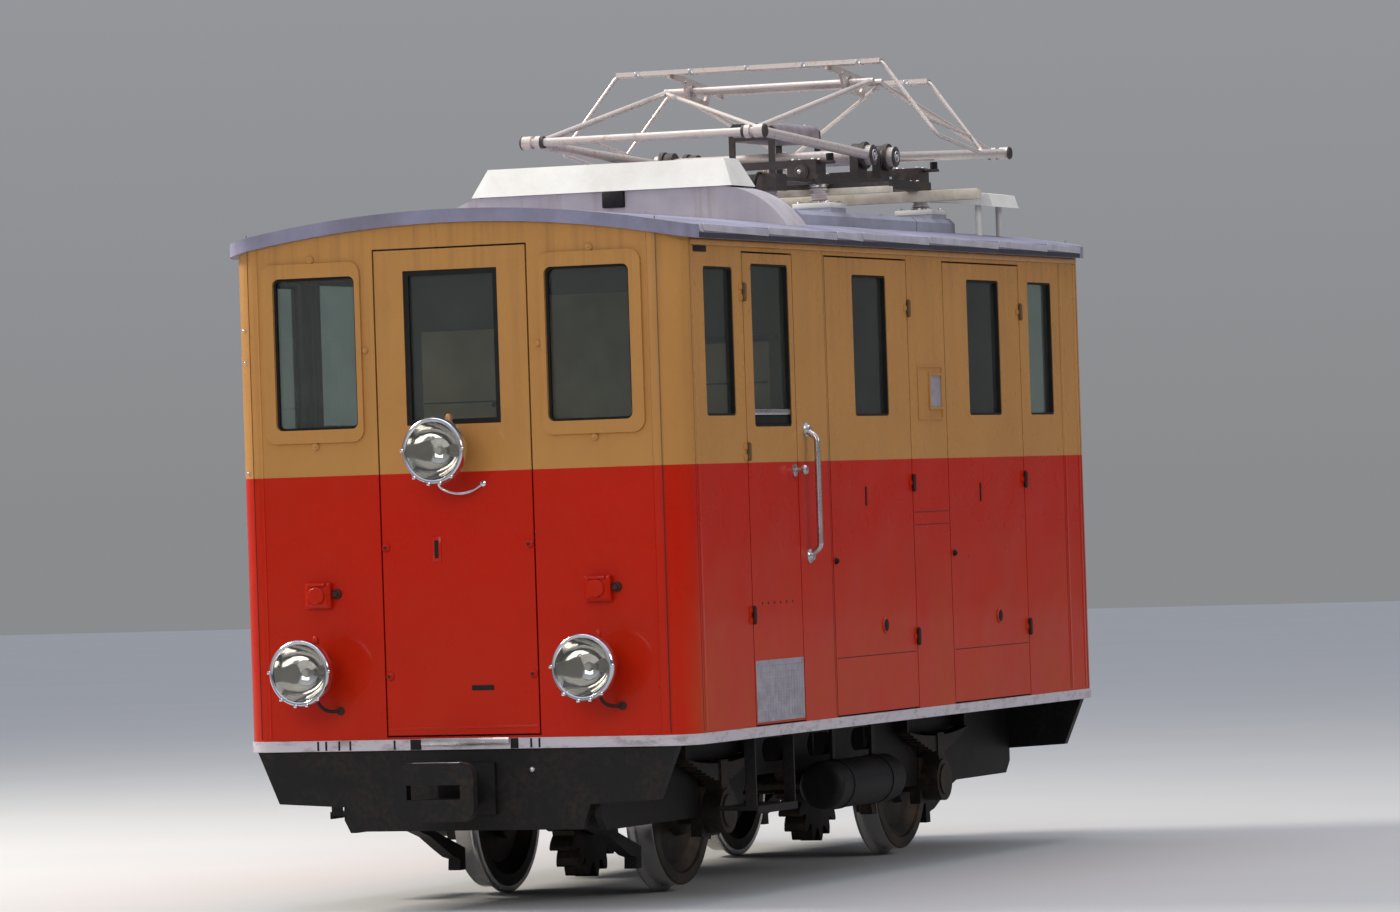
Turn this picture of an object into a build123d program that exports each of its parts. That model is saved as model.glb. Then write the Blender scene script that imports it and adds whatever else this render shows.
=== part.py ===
from build123d import *
import math
import os

# Electric rack railway locomotive, 800 mm gauge, two axles that each carry a pinion for a ladder rack.
# Frame: origin on the floor under the middle, +X is the right side, -Y the front end, +Z up.
# Heights called "above sill" count from the lower edge of the body; depths from the front face.

# Track and wheels
flange_height = 28
tread_radius = 340
wheel_back = 376
wheel_width = 124
flange_width = 32
tyre_thickness = 55
web_thickness = 30
hub_radius = 115
hub_length = 150
wheelbase = 2760
axle_radius = 62
journal_radius = 50
journal_end = 705
running_gap = 0.05

# Rack pinion, in mesh with a ladder rack of 100 mm pitch
rack_pitch = 100
tooth_count = 17
tooth_addendum = 28
tooth_dedendum = 36
tooth_tip_width = 22
tooth_foot_width = 62
pinion_width = 112
pinion_hub_radius = 105
pinion_hub_length = 230

# Body shell
body_width = 2200
body_length = 5280
corner_radius = 146
wall = 50
sill_over_rail = 690
band_height = 48
band_proud = 6
floor_thickness = 22
roof_under = 2345
roof_rise = 115
roof_overhang = 40
roof_half = body_width / 2 + roof_overhang
roof_thickness = 60
roof_end_overhang = 22
roof_corner = 168
seat_gap = 0.3

# Windows and doors of a side, as distance from the front face and height above the sill
pane = 6
pane_inset = 22
pane_lap = 12
pane_slack = 1
door_gap = 8
door_foot = 8
door_top = roof_under - 165
window_corner = 18
handrail_depth = 1440
handrail_low = 800
handrail_high = 1380
handrail_standoff = 70
handrail_radius = 14

# End walls
end_door_half = 375
end_door_low = 62
end_door_high = roof_under - 110
end_window_in = 466
end_window_out = 874
end_window_low = 1443
end_window_high = roof_under - 219
end_window_corner = 30
door_window_half = 231
door_window_low = 1447
door_window_high = roof_under - 208
frame_in = 440
frame_out = 930
frame_low = 1384
frame_high = end_window_high + 64
frame_corner = 55
frame_proud = 14
socket_x = 685
socket_height = 700

# Hinges
hinge_pin = 6
hinge_barrel = 9
hinge_length = 70
hinge_offset = 10
strap_width = 46
strap_thickness = 4

# Lamps
lamp_radius = 150
lamp_rim = 14
lamp_reach = 235
lamp_foot = 58
lamp_x = 690
lamp_height = 360
top_lamp_height = 1330
lens_thickness = 8

# Frame under the body
plate_x = 615
plate_thickness = 30
plate_low = 345
plate_arch = 500
horn_width = 210
horn_top = 560
box_height = 230
stay_thickness = 20
arch_start = 360
arch_end = 480
frame_chamfer = 60
slot_length = 300
slot_height = 110
slot_pitch = 560
stay_window = (560, 90)
hanger_half = 14
hanger_inset = 8
end_stay = 365
stay_pitch = 660
headstock_thickness = 45
headstock_inset = 10
headstock_margin = 70
headstock_shoulder = (930, 235)
headstock_step = (600, 252)
headstock_low = (560, 362)
guard_x = (410, 470)
guard_thickness = 18
guard_flange = 180
guard_bend = 300
guard_ahead = 410
guard_clearance = 105
guard_foot = 60
guard_depth = 48
tank_x = 800
tank_axis = 400
tank_radius = 115
tank_half = 425
tank_strap = 250
strap_band = 44
spring_leaves = 7
leaf_thickness = 11
leaf_width = 72
leaf_half = 400
leaf_step = 48
leaf_radius = 2600
buckle_foot = 26

# Couplers
buffer_width = 390
buffer_height = 260
buffer_reach = 340
buffer_plate = 46
buffer_drop = 175
shank_width = 130
shank_height = 150
jaw_gap = 64
pin_hole = 20

# Roof equipment
roof_crest = roof_under + roof_thickness
hood_half = 665
hood_top_half = 604
hood_front = 1700
hood_length = 290
hood_rake = 60
hood_foot = 960
hood_sweep = 420
hood_under = roof_crest + 123
hood_top = roof_crest + 255

# Pantograph, folded: pivots as distance from its middle line and height above the sill
panto_shift = 1230
panto_middle = body_length / 2 + panto_shift
shaft_offset = 150
shaft_height = roof_crest + 332
shaft_radius = 32
shaft_half = 580
cam_radius = 66
cam_thickness = 20
knuckle_offset = 1650
knuckle_height = roof_crest + 397
knuckle_half = 618
knuckle_radius = 20
top_offset = 60
top_height = roof_crest + 700
top_half = 560
top_radius = 17
lower_arm_radius = 24
lower_arm_inset = 26
upper_arm_radius = 15
upper_arm_foot = 542
brace_radius = 10
eye_radius = 32
eye_width = 26

# Collector head, as it stands level on the front top tube; folded it leans back by the tilt
head_tilt = 6.7
pan_offset = 321
pan_rise = 51
pan_half = 703
pan_width = 52
pan_thickness = 22
horn_half = 1000
horn_drop = 380
horn_radius = 10
tie_radius = 8
tie_share = 0.76
carrier_x = 420
carrier_thickness = 14
carrier_crown = 58
carrier_foot = 46
carrier_edge = 20
pivot_drift = 50
pivot_play = 6

# Rear hood and the boxes along the roof, as distance from the pantograph's middle line
rear_hood_front = panto_middle + 785
rear_hood_length = 370
rear_hood_half = 850
rear_hood_under = roof_crest + 153
rear_hood_height = 62
rear_hood_rake = 40
post_radius = 16
plinth_in = 380
plinth_out = 620
plinth_top = roof_crest + 35
plinth_chamfer = 22
plinth_front = -1222
plinth_joint = 308
plinth_end = 840
seat_height = 45
seat_length = 200

# Pantograph base on its insulators
insulator_x = 500
insulator_reach = 680
insulator_radius = 44
insulator_core = 35
insulator_height = 95
base_rail = 50
cross_reach = 320
bearing_radius = 60
bearing_width = 44
beam_half = 845
beam_reach = 605
beam_size = 45
corner_in = 370
corner_out = 520
corner_height = 120
corner_length = 130
boss_radius = 40
bar_thickness = 35
housing_half = 120
housing_length = 620
housing_rise = 200
housing_height = 85
terminal_reach = 1330
terminal_length = 140
terminal_drop = 50
terminal_height = 80

# Heights and depths in the shared frame
rail_top = flange_height
axle_height = rail_top + tread_radius
sill = rail_top + sill_over_rail
half_width = body_width / 2
half_length = body_length / 2
roof_radius = (roof_half**2 + roof_rise**2) / (2 * roof_rise)
band_top = sill + band_height
floor_top = band_top
floor_under = floor_top - floor_thickness
hinge_line = half_width + hinge_offset

# A side's fixed windows: name, near and far edge, foot and head
side_windows = [
    ("quarter", 295, 630, 1446, door_top - 70),
    ("rear", body_length - 850, body_length - 510, 1440, door_top - 80),
]
# A side's doors: name, near and far edge, window near, far, foot and head, hinged at the front edge, hinge heights
side_doors = [
    ("cab_door", 745, 1335, 845, 1285, 1395, door_top - 50, True, (550, 1283, door_top - 180)),
    ("engine_door_a", 1730, 2770, 2070, 2500, 1440, door_top - 80, False, (390, 1120, door_top - 230)),
    ("engine_door_b", 3253, 4300, 3575, 4020, 1440, door_top - 80, False, (390, 1120, door_top - 230)),
]
bulkheads = [1540, body_length - 935]
bulkhead_thickness = 30
end_hinge_heights = (300, 1180, end_door_high - 175)
# Lower edge of a rail guard from the headstock to the wheel: share of its run and rise over its tip
guard_steps = [(0.54, 172), (0.72, 108), (0.85, 65), (0.93, 52)]

# Motors, from the middle, and the driver's desk, from the end wall; heights over the floor
motor_half = 420
motor_span = (-840, -160)
motor_height = 760
motor_chamfer = 90
desk_x = (520, 860)
desk_depth = (110, 410)
desk_height = 900
desk_corner = 50
hand_wheel = 120
hand_wheel_bar = 11
hand_wheel_rise = 60
column_radius = 24
spoke_radius = 9


def deep(depth):
    """Y of a point that lies this far behind the front face."""
    return depth - half_length


def above(height):
    """Z of a point this far above the sill."""
    return sill + height


def block(x, y, z):
    """Box between the low and high values of each axis."""
    middle = Pos((x[0] + x[1]) / 2, (y[0] + y[1]) / 2, (z[0] + z[1]) / 2)
    return middle * Box(x[1] - x[0], y[1] - y[0], z[1] - z[0])


def rod(start, end, radius):
    """Round bar between two points."""
    a = Vector(start)
    b = Vector(end)
    return Solid.make_cylinder(radius, (b - a).length, Plane(origin=a, z_dir=(b - a).normalized()))


def across(half, y, z, radius):
    """Round bar along X, centred."""
    return rod((-half, y, z), (half, y, z), radius)


def left_of(shape):
    return mirror(shape, about=Plane.YZ)


def turned(shape):
    """The same piece at the other end."""
    return Rot(0, 0, 180) * shape


def roof_line(x, lift):
    """Height of the roof's lower surface, or of one lifted from it, at x."""
    return above(roof_under) + lift - roof_radius + math.sqrt(roof_radius**2 - x**2)


def under_arch(lift):
    """Prism from the floor up to the roof's lower surface, or to one lifted from it."""
    side = roof_half + 60
    rim = roof_line(side, lift)
    top = ThreePointArc((-side, rim), (0, roof_line(0, lift)), (side, rim))
    walls = Polyline((side, rim), (side, 0), (-side, 0), (-side, rim))
    return extrude(Plane.XZ * make_face(Wire(top.edges() + walls.edges())), body_length, both=True)


def plan_ring(outset, z, thickness):
    """Closed wall of the body's rounded plan, outset from the shell's outer face."""
    outer = RectangleRounded(body_width + 2 * outset, body_length + 2 * outset, corner_radius + outset)
    inner = RectangleRounded(body_width - 2 * thickness, body_length - 2 * thickness, corner_radius - thickness)
    return Pos(0, 0, z[0]) * extrude(outer - inner, z[1] - z[0])


def side_hole(y, z, depth, corner):
    """Cutter through the right wall, from depth behind its outer face outwards."""
    face = Plane.YZ * Pos((y[0] + y[1]) / 2, (z[0] + z[1]) / 2) * RectangleRounded(y[1] - y[0], z[1] - z[0], corner)
    return Pos(half_width - depth, 0, 0) * extrude(face, depth + 40)


def end_hole(x, z, depth, corner):
    """Cutter through the front wall, from depth behind its outer face outwards."""
    face = Plane.XZ * Pos((x[0] + x[1]) / 2, (z[0] + z[1]) / 2) * RectangleRounded(x[1] - x[0], z[1] - z[0], corner)
    return Pos(0, depth - half_length, 0) * extrude(face, depth + 40)


def widened(span, by):
    return (span[0] - by, span[1] + by)


def side_window_cut(y, z):
    """Window opening with the rebate that its pane sits in from inside."""
    rebate = side_hole(widened(y, pane_lap), widened(z, pane_lap), wall + 40, window_corner + pane_lap)
    shelf = block((half_width - pane_inset, half_width + 80), widened(y, 60), widened(z, 60))
    return side_hole(y, z, wall + 40, window_corner) + (rebate - shelf)


def side_pane(y, z):
    lap = pane_lap - pane_slack
    slab = side_hole(widened(y, lap), widened(z, lap), wall, window_corner + lap)
    outer = half_width - pane_inset
    return slab & block((outer - pane, outer), widened(y, 60), widened(z, 60))


def end_window_cut(x, z, corner):
    rebate = end_hole(widened(x, pane_lap), widened(z, pane_lap), wall + 40, corner + pane_lap)
    shelf = block(widened(x, 60), (-half_length - 80, -half_length + pane_inset), widened(z, 60))
    return end_hole(x, z, wall + 40, corner) + (rebate - shelf)


def end_pane(x, z, corner):
    lap = pane_lap - pane_slack
    slab = end_hole(widened(x, lap), widened(z, lap), wall, corner + lap)
    outer = -half_length + pane_inset
    return slab & block(widened(x, 60), (outer, outer + pane), widened(z, 60))


def hinge(height):
    """Hinge about Z at the origin: +X is away from the wall's face, +Y towards the door's leaf."""
    third = hinge_length / 3
    low = height - hinge_length / 2
    face = -hinge_offset
    fixed = rod((0, 0, low), (0, 0, low + hinge_length), hinge_pin)
    for bottom in (low, low + 2 * third):
        fixed += rod((0, 0, bottom), (0, 0, bottom + third), hinge_barrel)
        fixed += block((face, face + strap_thickness), (-strap_width, -door_gap), (bottom, bottom + third))
        fixed += block((face, face + strap_thickness + 2), (-door_gap, 0), (bottom, bottom + third))
    inner = (low + third + 0.5, low + 2 * third - 0.5)
    moving = rod((0, 0, inner[0]), (0, 0, inner[1]), hinge_barrel)
    moving += block((face, face + strap_thickness), (door_gap, strap_width), inner)
    moving += block((face, face + strap_thickness + 2), (0, door_gap), inner)
    moving -= rod((0, 0, inner[0] - 1), (0, 0, inner[1] + 1), hinge_pin + running_gap)
    return fixed, moving


def lamp_bowl():
    """Lamp at the origin facing -Y, its foot on the wall at Y = 0."""
    rim_out = lamp_radius
    glass_y = -lamp_reach
    back = -lamp_foot
    profile = Polyline(
        (0, back), (60, back), (105, back - 55), (rim_out - 12, glass_y + 40), (rim_out, glass_y + 34),
        (rim_out, glass_y - 8), (rim_out - lamp_rim, glass_y - 8), (rim_out - lamp_rim, glass_y + lens_thickness),
        (rim_out - 30, glass_y + 36), (80, back - 62), (0, back - 20), (0, back),
    )
    bowl = revolve(make_face(profile), Axis.Y)
    foot = rod((0, -1.0, 0), (0, back - 4, 0), 34)
    flange = rod((0, 0, 0), (0, -12, 0), 72)
    return bowl + foot + flange


def lamp_lens():
    glass_y = -lamp_reach
    radius = lamp_radius - lamp_rim - 0.3
    return rod((0, glass_y + lens_thickness, 0), (0, glass_y, 0), radius)


def wheel():
    """Right wheel with flange, tyre, dished web and hub, on the axle line at the origin."""
    tread = tread_radius
    back = wheel_back
    front = wheel_back + wheel_width
    rim = tread - tyre_thickness
    web_in = wheel_back + 52
    web_out = web_in + web_thickness
    hub_in = wheel_back - 8
    hub_out = hub_in + hub_length
    outline = Polyline(
        (hub_in, axle_radius), (hub_in, hub_radius), (web_in - 14, hub_radius), (web_in, rim - 60), (back + 12, rim - 8),
        (back, rim), (back, tread + flange_height - 8), (back + 7, tread + flange_height),
        (back + 18, tread + flange_height), (back + flange_width, tread + 4), (back + flange_width + 10, tread),
        (front - 8, tread), (front, tread - 8), (front, rim), (front - 12, rim - 8), (web_out, rim - 60),
        (web_out + 14, hub_radius), (hub_out, hub_radius - 10), (hub_out, axle_radius), (hub_in, axle_radius),
    )
    return Pos(0, 0, axle_height) * revolve(make_face(outline), Axis.X)


def pinion():
    """Rack pinion with its hub, on the axle line at the origin."""
    pitch_radius = tooth_count * rack_pitch / (2 * math.pi)
    tip = pitch_radius + tooth_addendum
    foot = pitch_radius - tooth_dedendum
    tooth = Polygon(
        (foot - 6, -tooth_foot_width / 2), (foot + 8, -tooth_foot_width / 2), (pitch_radius, -rack_pitch / 4 + 1),
        (tip - 6, -tooth_tip_width / 2), (tip, -tooth_tip_width / 2 + 6), (tip, tooth_tip_width / 2 - 6),
        (tip - 6, tooth_tip_width / 2), (pitch_radius, rack_pitch / 4 - 1), (foot + 8, tooth_foot_width / 2),
        (foot - 6, tooth_foot_width / 2), align=None,
    )
    gear = Circle(foot)
    for place in PolarLocations(0, tooth_count):
        gear += place * tooth
    gear -= Circle(axle_radius)
    rim = extrude(Plane.YZ * gear, pinion_width / 2, both=True)
    hub = extrude(Plane.YZ * (Circle(pinion_hub_radius) - Circle(axle_radius)), pinion_hub_length / 2, both=True)
    return Pos(0, 0, axle_height) * (rim + hub)


def axle():
    """Axle with the smaller journals that turn in the axle boxes."""
    shoulder = plate_x - plate_thickness
    body = across(shoulder, 0, axle_height, axle_radius)
    return body + across(journal_end, 0, axle_height, journal_radius)


def leaf_spring():
    """Stack of bent leaves over an axle box on the right, its buckle standing on the box."""
    seat = axle_height + box_height / 2
    buckle_low = seat + buckle_foot
    stack = None
    for number in range(spring_leaves):
        half = leaf_half - leaf_step * (spring_leaves - 1 - number)
        low = buckle_low + number * leaf_thickness
        sag = half**2 / (2 * leaf_radius)
        upper = ThreePointArc((-half, low + sag + leaf_thickness), (0, low + leaf_thickness), (half, low + sag + leaf_thickness))
        lower = ThreePointArc((half, low + sag), (0, low), (-half, low + sag))
        ends = [Line((half, low + sag + leaf_thickness), (half, low + sag)), Line((-half, low + sag), (-half, low + sag + leaf_thickness))]
        leaf = make_face(Wire(upper.edges() + lower.edges() + [ends[0].edge(), ends[1].edge()]))
        stack = leaf if stack is None else stack + leaf
    x = plate_x + plate_thickness / 2 + 12
    leaves = Pos(x, 0, 0) * extrude(Plane.YZ * stack, leaf_width)
    top = buckle_low + spring_leaves * leaf_thickness
    buckle = block((x - 8, x + leaf_width + 8), (-44, 44), (seat, top + 14))
    return leaves + buckle


def axle_box():
    """Box in its horn gap on the right, blind at its outer end."""
    inner = plate_x - plate_thickness / 2 - 12
    outer = journal_end + 30
    y = (-horn_width / 2, horn_width / 2)
    z = (axle_height - box_height / 2, axle_height + box_height / 2)
    guide = block((inner, plate_x + plate_thickness / 2 + 12), y, z)
    nose = rod((inner + 20, 0, axle_height), (outer, 0, axle_height), box_height / 2 - 12)
    cap = rod((outer - 16, 0, axle_height), (outer + 8, 0, axle_height), box_height / 2 - 40)
    table = block((plate_x, outer - 8), (-48, 48), (axle_height, z[1]))
    bore = rod((inner - 5, 0, axle_height), (journal_end + 3, 0, axle_height), journal_radius + running_gap)
    return guide + nose + cap + table - bore


def main_frame():
    """Side plates with horn gaps, joined by stays between them."""
    end = half_length - headstock_inset - headstock_thickness
    corner = (end - frame_chamfer, plate_low)
    foot = (wheelbase / 2 - arch_start, plate_low)
    arch = (wheelbase / 2 - arch_end, plate_arch)
    half = [(end, floor_under), (end, plate_low + frame_chamfer), corner, foot, arch]
    outline = Polyline(*half, *[(-y, z) for y, z in reversed(half)], half[0])
    axles = (-wheelbase / 2, wheelbase / 2)
    plate = make_face(outline)
    for y in axles:
        plate -= Pos(y, (horn_top - 50) / 2) * Rectangle(horn_width, horn_top + 50)
    for y in (-slot_pitch, 0, slot_pitch):
        plate -= Pos(y, (plate_arch + floor_under) / 2 - 12) * SlotOverall(slot_length, slot_height)
    x = plate_x - plate_thickness / 2
    side = Pos(x, 0, 0) * extrude(Plane.YZ * plate, plate_thickness)
    spring_eye = leaf_half - hanger_inset
    drop = axle_height + box_height / 2 + buckle_foot + leaf_half**2 / (2 * leaf_radius) + spring_leaves * leaf_thickness
    for y in axles:
        for reach in (-spring_eye, spring_eye):
            hanger = widened((y + reach, y + reach), hanger_half)
            side += block((x + plate_thickness, x + plate_thickness + leaf_width), hanger, (drop, floor_under))
    frame = side + left_of(side)
    for y in (end_stay - end, -stay_pitch, 0, stay_pitch, end - end_stay):
        stay = block((-x, x), widened((y, y), stay_thickness / 2), (plate_arch + 20, floor_under))
        stay -= Pos(0, y, plate_arch + 20 + stay_window[1]) * Box(stay_window[0], 3 * stay_thickness, stay_window[1])
        frame += stay
    return frame


def headstock():
    """Front headstock: a plate that narrows downwards, lower in the middle."""
    half = [(0, sill), (half_width - headstock_margin, sill)]
    half += [(x, sill - drop) for x, drop in (headstock_shoulder, headstock_step, headstock_low)]
    half.append((0, sill - headstock_low[1]))
    face = make_face(Polyline(*half, half[0]))
    face += mirror(face, about=Plane.YZ)
    back = -half_length + headstock_inset + headstock_thickness
    return Pos(0, back, 0) * extrude(Plane.XZ * face, headstock_thickness)


def coupler():
    """Front central buffer with a slotted jaw for the coupling pin."""
    y_face = -half_length - buffer_reach
    z = sill - buffer_drop
    head = Plane.XZ * RectangleRounded(buffer_width, buffer_height, 60)
    plate = Pos(0, y_face + buffer_plate, z) * extrude(head, buffer_plate)
    y_back = -half_length + headstock_inset
    shank = block((-shank_width / 2, shank_width / 2), (y_face + buffer_plate - 1, y_back), (z - shank_height / 2, z + shank_height / 2))
    foot = block((-150, 150), (y_back - 24, y_back), (z - 115, z + 115))
    whole = plate + shank + foot
    jaw_back = y_face + 190
    whole -= block((-buffer_width / 2 + 70, buffer_width / 2 - 70), (y_face - 5, y_face + buffer_plate + 5), (z - jaw_gap / 2, z + jaw_gap / 2))
    whole -= block((-shank_width, shank_width), (y_face - 5, jaw_back), (z - jaw_gap / 2, z + jaw_gap / 2))
    pin_y = y_face + 110
    whole -= rod((0, pin_y, z - 100), (0, pin_y, z + 100), pin_hole)
    return whole


def rail_guard():
    """Guard iron bolted behind the right of the front headstock, raked back to the wheel above the rail."""
    y = -half_length + headstock_inset + headstock_thickness
    bend = sill - guard_bend
    heel = -wheelbase / 2 - guard_ahead
    tip = rail_top + guard_clearance
    run = heel - y
    edge = [(y, bend)] + [(y + share * run, tip + rise) for share, rise in guard_steps]
    edge += [(heel - guard_foot, tip), (heel, tip), (heel, edge[-1][1] + guard_depth)]
    edge += [(y + guard_thickness, bend + guard_depth), (y, bend + guard_depth), (y, bend)]
    strap = extrude(Plane.YZ * make_face(Polyline(*edge)), guard_x[1] - guard_x[0])
    return Pos(guard_x[0], 0, 0) * strap + block(guard_x, (y, y + guard_thickness), (bend, bend + guard_flange))


def air_reservoir():
    """Tank beside the right frame plate, hung from the floor by two straps."""
    z = rail_top + tank_axis
    tank = rod((tank_x, -tank_half, z), (tank_x, tank_half, z), tank_radius)
    tank = fillet(tank.edges().filter_by(GeomType.CIRCLE), 0.35 * tank_radius)
    for y in (-tank_strap, tank_strap):
        band = widened((y, y), strap_band / 2)
        tank += rod((tank_x, band[0], z), (tank_x, band[1], z), tank_radius + strap_thickness)
        tank += block(widened((tank_x, tank_x), 2 * strap_thickness), band, (z + tank_radius, floor_under))
    return tank


def brake_set():
    """Two shoes before the front axle's wheels, joined by a beam and hung from a stay."""
    y_axle = -wheelbase / 2
    shoe_r = tread_radius + 8
    shoe = Circle(shoe_r + 42) - Circle(shoe_r)
    shoe &= Pos(shoe_r, 0) * Rectangle(160, 300)
    x = wheel_back + flange_width + 14
    shoe = Pos(x, y_axle, axle_height) * extrude(Plane.YZ * shoe, 66)
    y_beam = y_axle + shoe_r + 60
    hanger = block((x + 14, x + 34), (y_beam - 30, y_beam - 4), (axle_height - 30, floor_under))
    beam = across(x + 50, y_beam, axle_height, 22)
    lug = block((x + 6, x + 60), (y_beam - 40, y_beam), (axle_height - 26, axle_height + 26))
    return shoe + hanger + lug + left_of(shoe + hanger + lug) + beam


def cab_step():
    """Hanging step below the right cab door."""
    near = deep(side_doors[0][1] + 60)
    far = deep(side_doors[0][2] - 60)
    x = (plate_x + plate_thickness / 2, half_width - 30)
    tread = block((half_width - 230, x[1]), (near, far), (sill - 330, sill - 312))
    tread += block((x[1] - 8, x[1]), (near, far), (sill - 345, sill - 312))
    for y in (near, far - 14):
        tread += block((x[1] - 60, x[1] - 8), (y, y + 14), (sill - 320, sill))
    return tread


def handrail():
    """Grab rail beside the right cab door, bent into the wall at both ends."""
    y = deep(handrail_depth)
    x_out = half_width + handrail_standoff - handrail_radius
    path = FilletPolyline(
        (half_width, y, above(handrail_low)), (x_out, y, above(handrail_low + 40)),
        (x_out, y, above(handrail_high - 40)), (half_width, y, above(handrail_high)), radius=36,
    )
    bar = sweep(Plane(origin=path @ 0, z_dir=path % 0) * Circle(handrail_radius), path=path)
    bar -= block((0, half_width), (y - 40, y + 40), (above(0), above(roof_crest)))
    for z in (handrail_low, handrail_high):
        bar += rod((half_width, y, above(z)), (half_width + 7, y, above(z)), 30)
    return bar


def side_wall():
    """Right wall with its door and window openings and the fixed halves of the hinges."""
    shell = plan_ring(0, (band_top, above(roof_under) + roof_thickness), wall) & under_arch(-seat_gap)
    span = half_length - corner_radius - 4
    shell &= block((0, half_width), (-span, span), (0, 2 * above(roof_crest)))
    for name, near, far, low, high in side_windows:
        shell -= side_window_cut((deep(near), deep(far)), (above(low), above(high)))
    for name, near, far, w_near, w_far, w_low, w_high, at_front, heights in side_doors:
        half_gap = door_gap / 2
        y = (deep(near) - half_gap, deep(far) + half_gap)
        shell -= block((half_width - wall - 1, half_width + 1), y, (0, above(door_top) + half_gap))
        for height in heights:
            fixed, moving = hinge(above(height))
            shell += place_side_hinge(fixed, near, far, at_front)
    return shell


def place_side_hinge(shape, near, far, at_front):
    if at_front:
        return Pos(hinge_line, deep(near), 0) * shape
    return Pos(hinge_line, deep(far), 0) * mirror(shape, about=Plane.XZ)


def side_door(near, far, w_near, w_far, w_low, w_high, at_front, heights):
    """Leaf of a right door with its window cut and the moving halves of its hinges."""
    half_gap = door_gap / 2
    leaf = block(
        (half_width - wall, half_width), (deep(near) + half_gap, deep(far) - half_gap),
        (band_top + door_foot, above(door_top) - half_gap),
    )
    leaf -= side_window_cut((deep(w_near), deep(w_far)), (above(w_low), above(w_high)))
    for height in heights:
        fixed, moving = hinge(above(height))
        leaf += place_side_hinge(moving, near, far, at_front)
    return leaf


def place_end_hinge(shape):
    """Hinge on the inner face at the +X edge of the front door, which opens inwards."""
    return Pos(end_door_half, -half_length + wall + hinge_offset, 0) * Rot(0, 0, 90) * shape


def end_wall():
    """Front wall with its rounded corners, two windows, the doorway and two cable sockets."""
    shell = plan_ring(0, (band_top, above(roof_under) + roof_thickness), wall) & under_arch(-seat_gap)
    edge = -half_length + corner_radius + 4
    shell &= block((-half_width, half_width), (-half_length, edge), (0, 2 * above(roof_crest)))
    half_gap = door_gap / 2
    z_door = (above(end_door_low) - half_gap, above(end_door_high) + half_gap)
    shell -= block((-end_door_half - half_gap, end_door_half + half_gap), (-half_length - 1, -half_length + wall + 1), z_door)
    window = end_window_cut((end_window_in, end_window_out), (above(end_window_low), above(end_window_high)), end_window_corner)
    shell = shell - window - left_of(window)
    socket = block((socket_x - 62, socket_x + 62), (-half_length - 46, -half_length), (above(socket_height - 55), above(socket_height + 55)))
    socket = chamfer(socket.faces().sort_by(Axis.Y)[0].edges(), 14)
    shell += socket + left_of(socket)
    for height in end_hinge_heights:
        fixed, moving = hinge(above(height))
        shell += place_end_hinge(fixed)
    return shell


def end_door():
    """Front door leaf with its square window and the moving halves of its hinges."""
    half_gap = door_gap / 2
    half = end_door_half - half_gap
    leaf = block((-half, half), (-half_length, -half_length + wall), (above(end_door_low) + half_gap, above(end_door_high) - half_gap))
    leaf -= end_window_cut((-door_window_half, door_window_half), (above(door_window_low), above(door_window_high)), 4)
    for height in end_hinge_heights:
        fixed, moving = hinge(above(height))
        leaf += place_end_hinge(moving)
    return leaf


def window_frame():
    """Raised frame around the right window of the front wall."""
    outer = RectangleRounded(frame_out - frame_in, frame_high - frame_low, frame_corner)
    inner = RectangleRounded(end_window_out - end_window_in, end_window_high - end_window_low, end_window_corner)
    shift = Pos((end_window_in + end_window_out - frame_in - frame_out) / 2, (end_window_low + end_window_high - frame_low - frame_high) / 2)
    ring = outer - shift * inner
    place = Pos((frame_in + frame_out) / 2, -half_length, above((frame_low + frame_high) / 2))
    return place * extrude(Plane.XZ * ring, frame_proud)


def roof():
    plan = RectangleRounded(2 * roof_half, body_length + 2 * roof_end_overhang, roof_corner)
    slab = under_arch(roof_thickness) - under_arch(0)
    return slab & extrude(plan, 2 * above(roof_crest))


def front_hood():
    """Ventilator: a lid with raked ends on a base whose sides sweep out onto the roof."""
    z = (above(hood_under), above(hood_top))
    y = (deep(hood_front), deep(hood_front + hood_length))
    low = Pos(0, (y[0] + y[1]) / 2, z[0]) * Rectangle(2 * hood_half, y[1] - y[0])
    high = Pos(0, (y[0] + y[1]) / 2, z[1]) * Rectangle(2 * hood_top_half, y[1] - y[0] - 2 * hood_rake)
    lid = loft([low.face(), high.face()])
    foot_z = roof_line(hood_foot, 0)
    bend = RadiusArc((hood_top_half, z[0]), (hood_foot, foot_z), hood_sweep)
    other = mirror(bend, about=Plane.YZ)
    rest = [Line((hood_foot, foot_z), (-hood_foot, foot_z)), Line((-hood_top_half, z[0]), (hood_top_half, z[0]))]
    face = make_face(Wire(bend.edges() + other.edges() + [line.edge() for line in rest]))
    base = Pos(0, y[1] - 20, 0) * extrude(Plane.XZ * face, y[1] - y[0] - 40)
    return lid + (base - under_arch(roof_thickness + seat_gap))


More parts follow.
